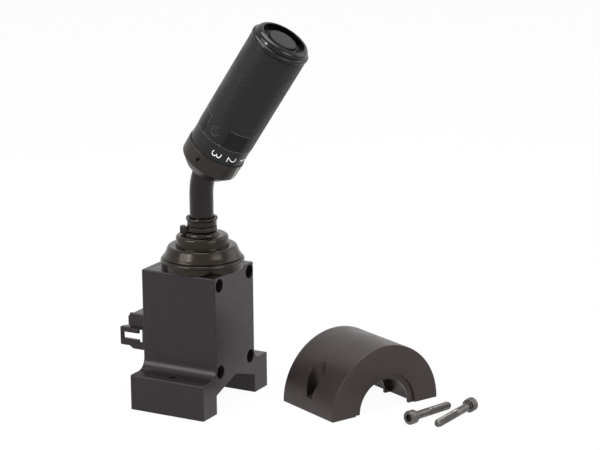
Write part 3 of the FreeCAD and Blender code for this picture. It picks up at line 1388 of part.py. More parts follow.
def make_cap():
    """Half-round clamp cap: split face down, bore along its own X axis."""
    body = new_body("cap")
    for radius, bore, start, length in (
        ("cap_radius", "cap_bore", "-cap_length / 2", "cap_length"),
        ("cap_bore + 0.5", "rib_radius", "-cap_length / 2 + rib_inset", "rib_width"),
        ("cap_bore + 0.5", "rib_radius", "-rib_width / 2", "rib_width"),
        ("cap_bore + 0.5", "rib_radius", "cap_length / 2 - rib_inset - rib_width", "rib_width"),
    ):
        sketch = sketch_on(body, "YZ_Plane", start)
        add_half_ring(sketch, radius, bore)
        pad(body, sketch, length)
    seats = sketch_on(body, "XY_Plane", "cap_seat")
    slots = sketch_on(body, "XY_Plane", "cap_seat")
    holes = sketch_on(body, "XY_Plane", "cap_seat + 1")
    for side in ("-", ""):
        add_circle(seats, "0", f"{side}(foot_screw_pitch / 2 + cap_counterbore_shift)", "cap_counterbore / 2")
        add_outline(slots, [
            ("-cap_slot / 2", f"{side}foot_screw_pitch / 2"),
            ("cap_slot / 2", f"{side}foot_screw_pitch / 2"),
            ("cap_slot / 2", f"{side}(cap_radius + 1)"),
            ("-cap_slot / 2", f"{side}(cap_radius + 1)"),
        ])
        add_circle(holes, "0", f"{side}foot_screw_pitch / 2", "cap_clearance / 2")
    pocket(body, slots, back=True)
    pocket(body, seats, back=True)
    pocket(body, holes)
    outer = value("cap_radius")
    soften(body, "cap_edge", lambda edge: isinstance(edge.Curve, Part.Circle)
           and abs(edge.Curve.Radius - outer) < 0.01 and abs(edge.Curve.Axis.x) > 0.99)
    place(body, "cap_place_x", "cap_place_y", "0", (0, 0, 1), "-cap_turn")
    return keep(body, "clamp_cap")


def add_half_ring(sketch, outer, inner):
    """Half ring above the sketch's X axis."""
    arcs = []
    for radius in (outer, inner):
        size = value(radius)
        arc = sketch.addGeometry(Part.ArcOfCircle(Part.Circle(Vector(), Vector(0, 0, 1), size), 0, math.pi))
        sketch.addConstraint(Sketcher.Constraint("Coincident", arc, 3, -1, 1))
        rule = sketch.addConstraint(Sketcher.Constraint("Radius", arc, size))
        sketch.setExpression(f"Constraints[{rule}]", bound(radius))
        for end in (1, 2):
            sketch.addConstraint(Sketcher.Constraint("PointOnObject", arc, end, -1))
        arcs.append(arc)
    for end, side in ((1, 1), (2, -1)):
        first = Vector(side * value(inner), 0, 0)
        line = sketch.addGeometry(Part.LineSegment(first, Vector(side * value(outer), 0, 0)))
        sketch.addConstraint(Sketcher.Constraint("Coincident", line, 1, arcs[1], end))
        sketch.addConstraint(Sketcher.Constraint("Coincident", line, 2, arcs[0], end))


def make_clamp_screws():
    """Two M6 screws on the floor, each lying on its head rim and its tip."""
    lean = "screw_lean * 1deg"
    height = f"clamp_head_size / 2 * cos({lean}) + clamp_head_height * sin({lean})"
    for number in (1, 2):
        screw = cap_screw("clamp_screw_size", "clamp_screw_length", "clamp_head_size",
                          "clamp_head_height", "clamp_hex", "clamp_tip")
        place(screw, "0", "0", height, (0, 1, 0), "90 + screw_lean")
        laid = put_in(screw, lambda lying: place(lying, f"screw_{number}_x", f"screw_{number}_y",
                                                 turn=f"screw_{number}_turn"))
        keep(laid, f"clamp_screw_{number}")


slab = make_slab()
make_housing(slab)
make_cover(slab)
make_gasket()
make_side_screws()
make_socket()
make_pins()
make_board()
make_bracket()
make_hub()
make_tube()
make_boot()
make_grip_base()
make_spindle()
make_grip_core()
make_sleeve()
make_grip_end()
make_cap()
make_clamp_screws()
doc.recompute()

for thing in doc.Objects:
    if "Invalid" in thing.State or "Error" in thing.State:
        raise RuntimeError(f"{thing.Name} ({thing.Label}) failed: {thing.State}")

os.makedirs("parts", exist_ok=True)
for node in NODES:
    if node.Shape.isNull() or not node.Shape.isValid():
        raise RuntimeError(f"{node.Label} has no valid shape")
    node.Shape.exportStep(f"parts/{node.Label}.step")
    box = node.Shape.BoundBox
    print(f"{node.Label:18} {len(node.Shape.Solids)} solids {node.Shape.Volume:10.1f} mm3",
          f"x {box.XMin:.1f}..{box.XMax:.1f} y {box.YMin:.1f}..{box.YMax:.1f} z {box.ZMin:.1f}..{box.ZMax:.1f}")
print(len(NODES), "nodes")
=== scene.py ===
# %% [markdown]
# Gear selector with a twist grip, dressed for a photograph.
# The solids come from the construction model. This script keeps most of them as they are, gives each a
# finish, and models again the pieces whose charm is in detail: the rubber boot, the knurled sleeve, the
# collar of the grip, the cable tie and the loose clamp screws. The printed numbers and lines are added.

# %% Load the frame
import json
import math

import bpy
from mathutils import Matrix, Vector


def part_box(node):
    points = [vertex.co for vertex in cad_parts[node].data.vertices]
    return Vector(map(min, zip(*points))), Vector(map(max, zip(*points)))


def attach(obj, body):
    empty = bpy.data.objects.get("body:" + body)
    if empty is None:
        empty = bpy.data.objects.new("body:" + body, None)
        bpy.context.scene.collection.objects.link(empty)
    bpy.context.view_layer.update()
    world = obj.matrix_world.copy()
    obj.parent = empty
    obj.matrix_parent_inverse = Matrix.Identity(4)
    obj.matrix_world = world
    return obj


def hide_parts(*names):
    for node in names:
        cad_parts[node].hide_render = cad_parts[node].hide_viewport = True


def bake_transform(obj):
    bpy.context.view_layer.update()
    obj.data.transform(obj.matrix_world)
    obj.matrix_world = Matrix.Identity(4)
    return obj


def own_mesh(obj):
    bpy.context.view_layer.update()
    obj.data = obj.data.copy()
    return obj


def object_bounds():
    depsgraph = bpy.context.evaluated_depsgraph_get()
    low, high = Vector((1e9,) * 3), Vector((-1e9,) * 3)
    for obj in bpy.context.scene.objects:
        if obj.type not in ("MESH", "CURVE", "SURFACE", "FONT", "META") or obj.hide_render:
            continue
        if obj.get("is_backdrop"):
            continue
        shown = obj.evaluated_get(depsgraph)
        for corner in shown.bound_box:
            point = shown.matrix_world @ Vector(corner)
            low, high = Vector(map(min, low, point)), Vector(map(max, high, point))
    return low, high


MM = 0.001

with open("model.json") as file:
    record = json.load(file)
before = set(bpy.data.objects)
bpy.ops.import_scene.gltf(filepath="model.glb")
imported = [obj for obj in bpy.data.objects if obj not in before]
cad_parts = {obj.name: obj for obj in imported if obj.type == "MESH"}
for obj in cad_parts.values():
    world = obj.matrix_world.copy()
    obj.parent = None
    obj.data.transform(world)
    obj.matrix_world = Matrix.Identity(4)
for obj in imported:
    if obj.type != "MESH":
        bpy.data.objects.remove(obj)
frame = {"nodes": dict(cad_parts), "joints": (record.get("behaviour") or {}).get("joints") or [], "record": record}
nodes = frame["nodes"]
cad_low, cad_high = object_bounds()
print("solids:", len(nodes), "size in mm:", [round(side / MM, 1) for side in cad_high - cad_low])

# %% [markdown]
# The camera stands where the photographer stood: to the right of the object, a little above it and far
# away, with a long lens. A long lens keeps the upright edges nearly parallel, as product photographs do.
# The place and the angles were solved from the straight edges of the housing, the cap and the screws.

# %% Camera
CAMERA_PLACE = Vector((0.765, -1.25269, 0.49996))
CAMERA_YAW, CAMERA_DOWN, CAMERA_ROLL = 28.516, 14.188, -0.487
FOCAL_LENGTH = 126.23

bpy.ops.object.camera_add()
camera = bpy.context.object
camera.data.sensor_width = 36
camera.data.lens = FOCAL_LENGTH
camera.data.clip_start = 0.01
camera.matrix_world = (
    Matrix.Translation(CAMERA_PLACE)
    @ Matrix.Rotation(math.radians(CAMERA_YAW), 4, "Z")
    @ Matrix.Rotation(math.radians(90 - CAMERA_DOWN), 4, "X")
    @ Matrix.Rotation(math.radians(CAMERA_ROLL), 4, "Z")
)
bpy.context.scene.camera = camera
print("camera at", [round(x, 3) for x in CAMERA_PLACE])

# %% [markdown]
# The studio is white on all sides, and black plastic is mostly a dim mirror of it: faces seen head-on send
# back a few hundredths of the white, and faces seen at a slant far more, which is why the tops look grey.
# So camera, glossy and transmission rays all meet plain white. The other rays meet an even, weaker light.
# The lamps only draw the streaks: a large and a small one at the front left, and three more at the right,
# behind on the right and above.


# %% Colours and node helper
def linear(colour):
    """Linear RGBA of an sRGB hex colour."""
    parts = [int(colour[i:i + 2], 16) / 255 for i in (1, 3, 5)]
    return tuple(c / 12.92 if c <= 0.04045 else ((c + 0.055) / 1.055) ** 2.4 for c in parts) + (1.0,)


def add(tree, kind, settings=None, **links):
    """Add a node; settings are its properties or numbered sockets, links name sockets to feed."""
    node = tree.nodes.new(kind)
    for key, setting in (settings or {}).items():
        if isinstance(key, str) and hasattr(node, key):
            setattr(node, key, setting)
        else:
            node.inputs[key].default_value = setting
    for key, source in links.items():
        socket = node.inputs[int(key[1:])] if key[0] == "_" else node.inputs[key]
        tree.links.new(source, socket)
    return node


def white_for(tree, share=1.0):
    """Socket that is the share on camera, glossy and transmission rays, and nothing on the others."""
    path = add(tree, "ShaderNodeLightPath")
    first = add(tree, "ShaderNodeMath", {"operation": "MAXIMUM"}, _0=path.outputs["Is Camera Ray"],
                _1=path.outputs["Is Glossy Ray"])
    both = add(tree, "ShaderNodeMath", {"operation": "MAXIMUM"}, _0=first.outputs[0],
               _1=path.outputs["Is Transmission Ray"])
    return add(tree, "ShaderNodeMath", {"operation": "MULTIPLY", 1: share}, _0=both.outputs[0]).outputs[0]


print("sRGB grey #808080 is", round(linear("#808080")[0], 3), "in linear light")

# %% World
EVEN_LIGHT = 0.42

world = bpy.data.worlds.new("studio")
bpy.context.scene.world = world
world.use_nodes = True
tree = world.node_tree
tree.nodes.clear()
seen = white_for(tree)
even = add(tree, "ShaderNodeBackground", {"Color": linear("#f4f4f6"), "Strength": EVEN_LIGHT})
white = add(tree, "ShaderNodeBackground", {"Color": (1, 1, 1, 1), "Strength": 1.0})
both = add(tree, "ShaderNodeMixShader", None, _0=seen, _1=even.outputs[0], _2=white.outputs[0])
add(tree, "ShaderNodeOutputWorld", None, Surface=both.outputs[0])
bpy.context.scene.view_settings.view_transform = "Standard"
print("world nodes:", len(tree.nodes))

# %% Lamps
# Place, point aimed at and side in metres, and power in watts.
LAMPS = {
    "left_lamp": ((-0.68, -1.22, 0.85), (0.0, 0, 0.15), 0.9, 11),
    "small_lamp": ((-0.35, -1.35, 1.0), (0.0, 0, 0.15), 0.2, 3.5),
    "right_lamp": ((1.35, -0.3, 0.55), (0.05, 0, 0.15), 0.8, 7),
    "back_lamp": ((0.95, 1.0, 0.65), (0.05, 0, 0.15), 0.9, 3),
    "top_lamp": ((0.15, 0.1, 1.4), (0.06, 0, 0.1), 0.9, 15),
}
for name, (place, aim, side, watts) in LAMPS.items():
    bpy.ops.object.light_add(type="AREA", location=place)
    light = bpy.context.object
    light.name = name
    light.data.shape = "SQUARE"
    light.data.size = side
    light.data.energy = watts
    light.rotation_euler = (Vector(aim) - Vector(place)).to_track_quat("-Z", "Y").to_euler()
print("lamps:", len(bpy.data.lights))

# %% Floor
# The paper glows for the camera, but not fully, so the faint shadow under the object stays.
FLOOR_SIDE, FLOOR_DROP, PAPER_GLOW = 12, 0.2 * MM, 0.96

bpy.ops.mesh.primitive_plane_add(size=FLOOR_SIDE, location=(0, 0, cad_low.z - FLOOR_DROP))
floor = bpy.context.object
floor.name = "floor"
floor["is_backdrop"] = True
paper = bpy.data.materials.new("white_paper_sweep")
paper.use_nodes = True
tree = paper.node_tree
tree.nodes.clear()
sheet = add(tree, "ShaderNodeBsdfDiffuse", {"Color": linear("#fbfbfb")})
glow = add(tree, "ShaderNodeEmission", {"Color": (1, 1, 1, 1), "Strength": 1.0})
both = add(tree, "ShaderNodeMixShader", None, _0=white_for(tree, PAPER_GLOW), _1=sheet.outputs[0],
           _2=glow.outputs[0])
add(tree, "ShaderNodeOutputMaterial", None, Surface=both.outputs[0])
floor.data.materials.append(paper)
print("floor at", round(floor.location.z / MM, 2), "mm")

# %% [markdown]
# Most of this object is black, so its materials differ in gloss and grain more than in colour.
# One function makes them all: a base colour that drifts a little, a roughness that drifts with it, and
# two bumps, a fine one for the grain of the surface and a wide one for the swell of a moulding.
# All patterns use object coordinates, and every scale is worked out from a size in millimetres.
# Plastics and rubbers start from an IOR of 1.5, which is lowered where the real surface sends back less
# light. The gleam is the tint of what they send back. A metal keeps the default IOR.


# %% Finishes
def per(size_mm):
    """Pattern scale at which one feature is this many millimetres wide."""
    return 1 / (size_mm * MM)


def finish(name, colour, other, roughness, spread=0.08, grain=(0.4, 0.02), swell=(9, 0.05), metallic=0.0,
           ior=1.5, drift=14, gleam="#ffffff"):
    """Material from a colour, its drift, gloss, grain and swell; grain and swell are (size, depth) in mm."""
    made = bpy.data.materials.new(name)
    made.use_nodes = True
    tree = made.node_tree
    tree.nodes.clear()
    place = add(tree, "ShaderNodeTexCoord").outputs["Object"]
    slow = add(tree, "ShaderNodeTexNoise", {"Scale": per(drift), "Detail": 3.0}, Vector=place)
    fine = add(tree, "ShaderNodeTexNoise", {"Scale": per(grain[0]), "Detail": 2.0}, Vector=place)
    wide = add(tree, "ShaderNodeTexNoise", {"Scale": per(swell[0]), "Detail": 1.0}, Vector=place)
    tint = add(tree, "ShaderNodeMix", {"data_type": "RGBA", 6: linear(colour), 7: linear(other)},
               _0=slow.outputs["Fac"])
    gloss = add(tree, "ShaderNodeMapRange", {1: 0.3, 2: 0.7, 3: roughness - spread, 4: roughness + spread},
                _0=slow.outputs["Fac"])
    first = add(tree, "ShaderNodeBump", {"Strength": 1.0, "Distance": swell[1] * MM},
                Height=wide.outputs["Fac"])
    second = add(tree, "ShaderNodeBump", {"Strength": 1.0, "Distance": grain[1] * MM},
                 Height=fine.outputs["Fac"], Normal=first.outputs[0])
    shader = add(tree, "ShaderNodeBsdfPrincipled", {"Metallic": metallic, "Specular Tint": linear(gleam)},
                 _0=tint.outputs[2], Roughness=gloss.outputs[0], Normal=second.outputs[0])
    if not metallic:
        shader.inputs["IOR"].default_value = ior
    add(tree, "ShaderNodeOutputMaterial", None, Surface=shader.outputs[0])
    return made


# %% Plastics
# Moulded nylon with glass in it has a satin skin, here black with a touch of plum.
glass_nylon = finish("glass_filled_nylon_moulded", "#241d20", "#1e181b", 0.28, 0.04, grain=(0.5, 0.008),
                     swell=(11, 0.012), ior=1.39, gleam="#f6eef2")
# Its edges are a greyer, duller line: a painted highlight.
housing_edge_painted_highlight = finish("glass_filled_nylon_edge_painted_highlight", "#4e484a", "#2c2729", 0.4, drift=9)
# The loose cap is of the same nylon, but has been handled more: browner and less glossy.
cap_nylon = finish("glass_filled_nylon_cap_moulded", "#2f2828", "#261f1f", 0.37, 0.06, grain=(0.5, 0.012),
                   swell=(10, 0.03), ior=1.42, gleam="#f8ece6")
# Its edges are nearly white in places, partly scuffs and partly painted highlight, so this colour drifts far.
cap_edge_scuffs_and_highlight = finish("glass_filled_nylon_cap_edge_scuffs_and_painted_highlight", "#dcd2cc", "#5c5456", 0.45, drift=5)
# Moulded nylon without glass is smoother, a brown black with broad soft lights.
grip_nylon = finish("nylon_moulded_dark", "#1a1513", "#151110", 0.4, 0.05, grain=(0.4, 0.008), ior=1.42,
                    gleam="#f6ece6")
# The number ring was moulded from another batch, which looks bluish beside the collar.
ring_nylon = finish("nylon_moulded_bluish_black", "#0b0c0f", "#090a0c", 0.36, 0.05, grain=(0.4, 0.008),
                    ior=1.38)
# Nylon moulded for a tie is a little more glossy.
tie_nylon = finish("nylon_tie_moulded", "#141110", "#100d0c", 0.34, 0.05, grain=(0.4, 0.008), ior=1.43,
                   gleam="#f6ece6")
# ABS from a polished mould is deep black with small, sharp lights.
ring_abs = finish("abs_moulded_glossy", "#08080a", "#060608", 0.14, 0.03, grain=(0.5, 0.004),
                  swell=(8, 0.02), ior=1.36)
# ABS from a spark-eroded mould is matt, and looks an even dark grey.
button_abs = finish("abs_spark_eroded_matt", "#1c1b1a", "#181716", 0.6, grain=(0.35, 0.03), ior=1.4)
# ABS moulded matt, made near black as painted shade, so the gap round the button looks deep.
guide_abs_painted_shade = finish("abs_moulded_matt_black_painted_shade", "#080808", "#060606", 0.5, ior=1.3)
# Moulded acetal is a milky white with a soft gloss.
white_acetal = finish("acetal_white_moulded", "#e2e0da", "#d6d4cd", 0.4)
# The mask printed on a circuit board is a glassy green.
board_mask = finish("circuit_board_solder_mask", "#1f5e33", "#174a28", 0.3)
# Moulded epoxy on a chip is a flat dark grey.
chip_epoxy = finish("epoxy_moulded_chip", "#1b1b1c", "#151516", 0.5)
print("plastics made, finishes so far:", len(bpy.data.materials))

# %% Rubbers
# EPDM rubber from a polished mould is a warm black with long, soft streaks of light.
boot_rubber = finish("epdm_rubber_moulded_glossy", "#120d0a", "#0c0906", 0.22, 0.06, grain=(0.6, 0.008),
                     swell=(6, 0.06), ior=1.41, gleam="#f6e8da")
# Nitrile rubber between the diamonds of a knurl, made nearly pure black as painted shade.
knurl_groove_rubber_painted_shade = finish("nitrile_rubber_knurl_groove_painted_shade", "#030304", "#020202", 0.34, grain=(0.3, 0.008), ior=1.31)
# The tops of the diamonds are painted lighter than the grooves: painted light.
knurl_peak_rubber_painted_light = finish("nitrile_rubber_knurl_peak_painted_light", "#211f24", "#17161a", 0.36, grain=(0.3, 0.008), ior=1.34)
# Raised edges of the same rubber are a broken grey line: rubbed wear and painted highlight.
edge_rubber_wear_and_highlight = finish("nitrile_rubber_edge_wear_and_painted_highlight", "#504e4f", "#0c0b0c", 0.5, drift=2.5)
# Moulded seals are matt, and a plain dark grey.
seal_rubber = finish("nitrile_rubber_plain", "#161616", "#101010", 0.6)
print("rubbers made, finishes so far:", len(bpy.data.materials))

# %% Metals
# Stove enamel on a steel tube is smooth, with an even black shine.
tube_paint = finish("steel_stove_enamelled_black", "#110c0d", "#0c090a", 0.3, 0.06, grain=(0.8, 0.006),
                    ior=1.38, gleam="#f8ecee")
# Black oxide is so thin that the steel shines through it, patchy and grey.
black_oxide = finish("steel_black_oxide", "#6d6a68", "#4c4946", 0.3, 0.1, metallic=1.0,
                     grain=(0.4, 0.006), drift=5)
# Zinc-plated steel is a bluish silver with a fine grain.
zinc_steel = finish("steel_zinc_plated", "#b9bcc0", "#a4a8ad", 0.3, metallic=1.0, grain=(0.3, 0.004))
# Die-cast aluminium is a dull silver with a coarser skin.
cast_alloy = finish("aluminium_die_cast", "#b2b3b5", "#9fa1a4", 0.42, metallic=1.0, grain=(0.6, 0.02))
# Sintered bronze is brown gold, with fine pores that take its shine away.
bronze = finish("bronze_sintered", "#9c7440", "#86602f", 0.4, metallic=1.0, grain=(0.3, 0.02))
# Tin-plated brass is a pale, yellowish silver.
tin_brass = finish("brass_tin_plated", "#c9c3a8", "#b5ae90", 0.28, metallic=1.0)
# Nickel plate on a magnet is bright and slightly warm.
magnet_nickel = finish("magnet_nickel_plated", "#b8b6b0", "#a3a19b", 0.2, metallic=1.0)
print("metals made, finishes so far:", len(bpy.data.materials))

# %% [markdown]
# Every solid gets its finish by name, also those inside, which show when the object is taken apart. A
# table of finishes is easier to check than a line for each solid.

# %% Give every solid its finish
FINISH_OF = {
    glass_nylon: "housing_body side_cover plug_socket",
    seal_rubber: "cover_gasket base_seal",
    black_oxide: "side_screws base_set_screw clamp_screw_1 clamp_screw_2",
    tin_brass: "contact_pins",
    board_mask: "circuit_board",
    chip_epoxy: "position_sensors rotary_switch button_switch",
    zinc_steel: "board_screws pivot_bracket bracket_screws detent_leaf tube_pin pivot_pin pin_clips "
                "spindle_screws grip_clip sleeve_screws detent_ball detent_spring button_spring",
    bronze: "pivot_bushes",
    cast_alloy: "lever_hub grip_spindle",
    magnet_nickel: "sensor_magnet",
    boot_rubber: "boot",
    tube_paint: "lever_tube",
    tie_nylon: "cable_tie",
    grip_nylon: "grip_base sleeve_plugs",
    ring_nylon: "grip_core",
    guide_abs_painted_shade: "button_guide",
    knurl_groove_rubber_painted_shade: "grip_sleeve",
    ring_abs: "end_ring",
    button_abs: "button_cap",
    white_acetal: "lower_bearing upper_bearing switch_carrier switch_rotor",
    cap_nylon: "clamp_cap",
}
for material, names in FINISH_OF.items():
    for name in names.split():
        nodes[name].data.materials.clear()
        nodes[name].data.materials.append(material)
print("finished solids:", sum(len(names.split()) for names in FINISH_OF.values()))

# %% [markdown]
# Round pieces are raised ring by ring, as on a potter's wheel: a circle is added, its rim is extruded and
# scaled to the next radius, and so on up the outline. Each ring carries a bevel weight, so one Bevel
# modifier rounds every corner by its own amount. This keeps the outline readable: one line per corner.


# %% Helpers for selecting and closing
def select_none():
    """Leave edit mode and select nothing."""
    if bpy.context.object and bpy.context.object.mode != "OBJECT":
        bpy.ops.object.mode_set(mode="OBJECT")
    bpy.ops.object.select_all(action="DESELECT")


def only(piece):
    """Make one piece the only selected one."""
    select_none()
    piece.select_set(True)
    bpy.context.view_layer.objects.active = piece


def join_to(piece, bit):
    """Make a bit part of a piece."""
    only(piece)
    bit.select_set(True)
    bpy.ops.object.join()


def close_up():
    """In edit mode, close the holes of a mesh and turn its faces outwards."""
    bpy.ops.mesh.select_all(action="DESELECT")
    bpy.ops.mesh.select_non_manifold()
    bpy.ops.mesh.fill_holes(sides=0)
    bpy.ops.mesh.select_all(action="SELECT")
    bpy.ops.mesh.normals_make_consistent(inside=False)


def settle(piece, angle=35, place=None):
    """Apply modifiers and place, merge doubles, close the piece and shade it."""
    only(piece)
    for modifier in list(piece.modifiers):
        bpy.ops.object.modifier_apply(modifier=modifier.name)
    if place:
        piece.matrix_world = place @ piece.matrix_world
    bpy.ops.object.transform_apply(location=True, rotation=True, scale=True)
    bpy.ops.object.mode_set(mode="EDIT")
    bpy.ops.mesh.select_all(action="SELECT")
    bpy.ops.mesh.remove_doubles(threshold=0.002 * MM)
    close_up()
    bpy.ops.object.mode_set(mode="OBJECT")
    bpy.ops.object.shade_smooth_by_angle(angle=math.radians(angle))
    return piece


# %% Helpers for round pieces and boxes
def lathe(name, rings, sides=96, ring_closed=True):
    """Round piece raised ring by ring; each ring is (radius, height, rounding) in mm."""
    select_none()
    radius, height, _ = rings[0]
    bpy.ops.mesh.primitive_circle_add(vertices=sides, radius=radius * MM, location=(0, 0, height * MM))
    piece = bpy.context.object
    piece.name = name
    bpy.ops.object.transform_apply(location=True)
    bpy.ops.object.mode_set(mode="EDIT")
    bpy.ops.mesh.select_all(action="SELECT")
    corners = list(rings[1:]) + ([rings[0]] if ring_closed else [])
    for old, new in zip(rings, corners):
        bpy.ops.mesh.extrude_region_move(TRANSFORM_OT_translate={"value": (0, 0, (new[1] - old[1]) * MM)})
        grow = new[0] / old[0]
        bpy.ops.transform.resize(value=(grow, grow, 1), center_override=(0, 0, new[1] * MM))
    bpy.ops.object.mode_set(mode="OBJECT")
    widest = max(ring[2] for ring in rings)
    if widest:
        weights = piece.data.attributes.new("bevel_weight_edge", "FLOAT", "EDGE")
        for edge in piece.data.edges:
            first, second = (v // sides for v in edge.vertices)
            if first == second:
                weights.data[edge.index].value = rings[first % len(rings)][2] / widest
        bpy.ops.object.mode_set(mode="EDIT")
        bpy.ops.mesh.select_all(action="SELECT")
        bpy.ops.mesh.remove_doubles(threshold=0.001 * MM)
        bpy.ops.object.mode_set(mode="OBJECT")
        rounding = piece.modifiers.new("rounding", "BEVEL")
        rounding.limit_method = "WEIGHT"
        rounding.width = widest * MM
        rounding.segments = 4
        rounding.loop_slide = False
    return piece


def soft_box(size, rounding, segments):
    """Box with rounded edges at the origin; size and rounding are in mm."""
    select_none()
    bpy.ops.mesh.primitive_cube_add(size=1, scale=[side * MM for side in size])
    box = bpy.context.object
    bpy.ops.object.transform_apply(scale=True)
    bpy.ops.object.mode_set(mode="EDIT")
    bpy.ops.mesh.select_all(action="SELECT")
    bpy.ops.mesh.bevel(offset=rounding * MM, segments=segments)
    bpy.ops.object.mode_set(mode="OBJECT")
    return box


# %% Bodies and the axis of the grip
behaviour = frame["record"]["behaviour"]["bodies"]
frame_body = {node: body for body, names in behaviour.items() for node in names}
joint_of = {joint["name"]: joint for joint in frame["joints"]}


def stand_for(piece, node, material):
    """Give a piece its finish, and let it ride in the place of a solid."""
    if not piece.data.materials:
        piece.data.materials.append(material)
    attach(piece, frame_body[node])
    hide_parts(node)


# Pieces of the grip are modelled upright and then moved by GRIP; a station is a height on that axis.
twist = joint_of["gear_twist"]
GRIP = Matrix.Translation(Vector(twist["pos_m"])) @ Vector((0, 0, 1)).rotation_difference(
    Vector(twist["axis"])).to_matrix().to_4x4()
LEVER_X = twist["pos_m"][0]
print("grip axis leans", round(math.degrees(math.acos(twist["axis"][2])), 1), "degrees")

# %% [markdown]
# The rubber boot is moulded in three steps that get smaller towards the lever. Its skin is glossy and its
# corners are round, so each step draws its own streak of light. The flared lip at the top is a little
# wavy, because it was trimmed by hand.

# %% Rubber boot
BOOT_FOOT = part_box("boot")[0].z / MM
# Heights above the boot's foot where the folds, the neck and the lip begin, and the height of the lip.
FOLDS_FROM, NECK_FROM, LIP_FROM, LIP_HIGH = 8, 27, 33, 4
BOOT_RINGS = [
    (23.2, 0.0, 0.3), (29.7, 0.0, 0.4), (29.9, 4.6, 0.3), (30.4, 5.0, 0.4), (30.3, 6.5, 0.9),
    (29.1, 7.5, 0.8), (28.3, 7.1, 0.2), (28.0, 7.3, 0.2), (28.75, 8.2, 0.3),
    (27.0, 10.6, 1.5), (24.7, 16.5, 2.2), (19.9, 16.3, 0.5), (19.3, 16.0, 0.2), (19.2, 17.0, 0.4),
    (18.9, 24.2, 2.9), (13.2, 23.9, 0.5), (12.6, 24.3, 0.4),
    (12.2, 25.8, 0.9), (9.8, 26.8, 0.3), (9.8, 30.5, 0.3),
    (10.7, 31.0, 0.3), (10.7, 34.1, 0.8), (11.6, 36.2, 0.5), (11.1, 37.3, 0.4), (9.6, 37.1, 0.4),
    (8.9, 35.4, 0.4), (8.9, 26.6, 0.5), (10.8, 22.3, 0.5), (17.1, 22.0, 0.5), (17.3, 14.6, 0.5),
    (22.8, 14.4, 0.5), (26.2, 7.3, 0.5), (23.2, 4.3, 0.3),
]
boot = lathe("rubber_boot", [(radius, BOOT_FOOT + high, rounding) for radius, high, rounding in BOOT_RINGS])
boot.location.x = LEVER_X
settle(boot, 50)
print("boot faces:", len(boot.data.polygons))

# %% Trimmed lip of the boot
for vertex in boot.data.vertices:
    height = vertex.co.z / MM - BOOT_FOOT
    if height > LIP_FROM:
        turn = math.atan2(vertex.co.y, vertex.co.x - LEVER_X)
        wave = 0.22 * math.sin(3 * turn + 1.0) + 0.14 * math.sin(7 * turn) + 0.09 * math.sin(13 * turn + 2)
        vertex.co.z -= (0.45 + wave) * MM * min(1, (height - LIP_FROM) / LIP_HIGH)
boot.data.materials.append(boot_rubber)
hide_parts("boot")
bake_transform(boot)
print("boot bends over", NECK_FROM - FOLDS_FROM, "mm of its height")

# %% [markdown]
# The grip sleeve is knurled: small diamonds in rows, pressed into the rubber. A flat grid is the easiest
# place to draw them. Every fourth point of the grid is a peak, the points between are half-way down or in
# the groove, and the grid is then rolled up round the grip. Four smooth patches near the foot have no
# diamonds, as the mould had smooth plates there. The real diamonds are a little finer, too fine to show in
# a picture of this size, so they are drawn as coarse as they need to be to show.

# %% Sizes of the sleeve
SLEEVE_FOOT, SLEEVE_TOP = 37.9, 116.85
# Radii of the diamonds' tops, of the grooves, of the smooth patches and of the bore.
PEAK, GROOVE, SMOOTH, SLEEVE_BORE = 21.45, 21.22, 21.3, 17.6
# A diamond takes four points of the grid each way.
DIAMOND = 2.05
ROUND = 4 * round(2 * math.pi * PEAK / DIAMOND)
LONG = 4 * round((SLEEVE_TOP - SLEEVE_FOOT) / DIAMOND)
# Each patch runs from one turn to another, in degrees, and from the foot up to one station.
PATCHES = [(-158, -114), (-66, -22), (22, 66), (114, 158)]
PATCH_END = 52.45
# A gap runs round each of the two plugs, and a flat ring round the gap.
PLUG_STATION, PLUG_RADIUS, PLUG_GAP, PLUG_RING = 45.75, 2.9, 0.35, 0.75
RING_DROP, GAP_DEEP = 0.1, 0.45
print("grid of the sleeve:", ROUND, "round and", LONG, "along")


# %% Radius of each point of the sleeve
def from_plug(turn, station):
    """Distance in mm from the edge of the nearer plug."""
    return math.hypot(math.radians(abs(turn) - 90) * PEAK, station - PLUG_STATION) - PLUG_RADIUS


def in_patch(turn):
    """Whether a smooth patch lies at this turn."""
    return any(low < turn < high for low, high in PATCHES)


def knurl_radius(i, j, turn, station):
    """Radius of a grid point: peak, half-way or groove, even on the smooth patches and low at the plugs."""
    if j in (0, LONG):
        return GROOVE
    distance = from_plug(turn, station)
    if distance < PLUG_RING:
        return PEAK - RING_DROP if distance > PLUG_GAP else GROOVE - GAP_DEEP
    if station < PATCH_END and in_patch(turn):
        return SMOOTH
    if (i + j) % 2:
        return (PEAK + GROOVE) / 2
    return PEAK if i % 2 == 0 and (i + j) % 4 == 0 else GROOVE


# %% Roll the sleeve up
select_none()
bpy.ops.mesh.primitive_grid_add(x_subdivisions=ROUND, y_subdivisions=LONG, size=1)
sleeve = bpy.context.object
sleeve.name = "knurled_sleeve"
for vertex in sleeve.data.vertices:
    i, j = round((vertex.co.x + 0.5) * ROUND), round((vertex.co.y + 0.5) * LONG)
    turn = 360 * i / ROUND - 180
    station = SLEEVE_FOOT + (SLEEVE_TOP - SLEEVE_FOOT) * j / LONG
    radius = knurl_radius(i, j, turn, station) * MM
    vertex.co = (radius * math.cos(math.radians(turn)), radius * math.sin(math.radians(turn)), station * MM)
print("sleeve points:", len(sleeve.data.vertices))

# %% [markdown]
# The tops of the diamonds are a lighter rubber than the grooves: painted light on the tops and painted
# shade in the grooves. The raised edges are grey, partly rubbed wear and partly painted highlight: above
# the patches, down one side of a patch, round the foot and round the plugs. The foot's line is wavy, as
# wear is never even.

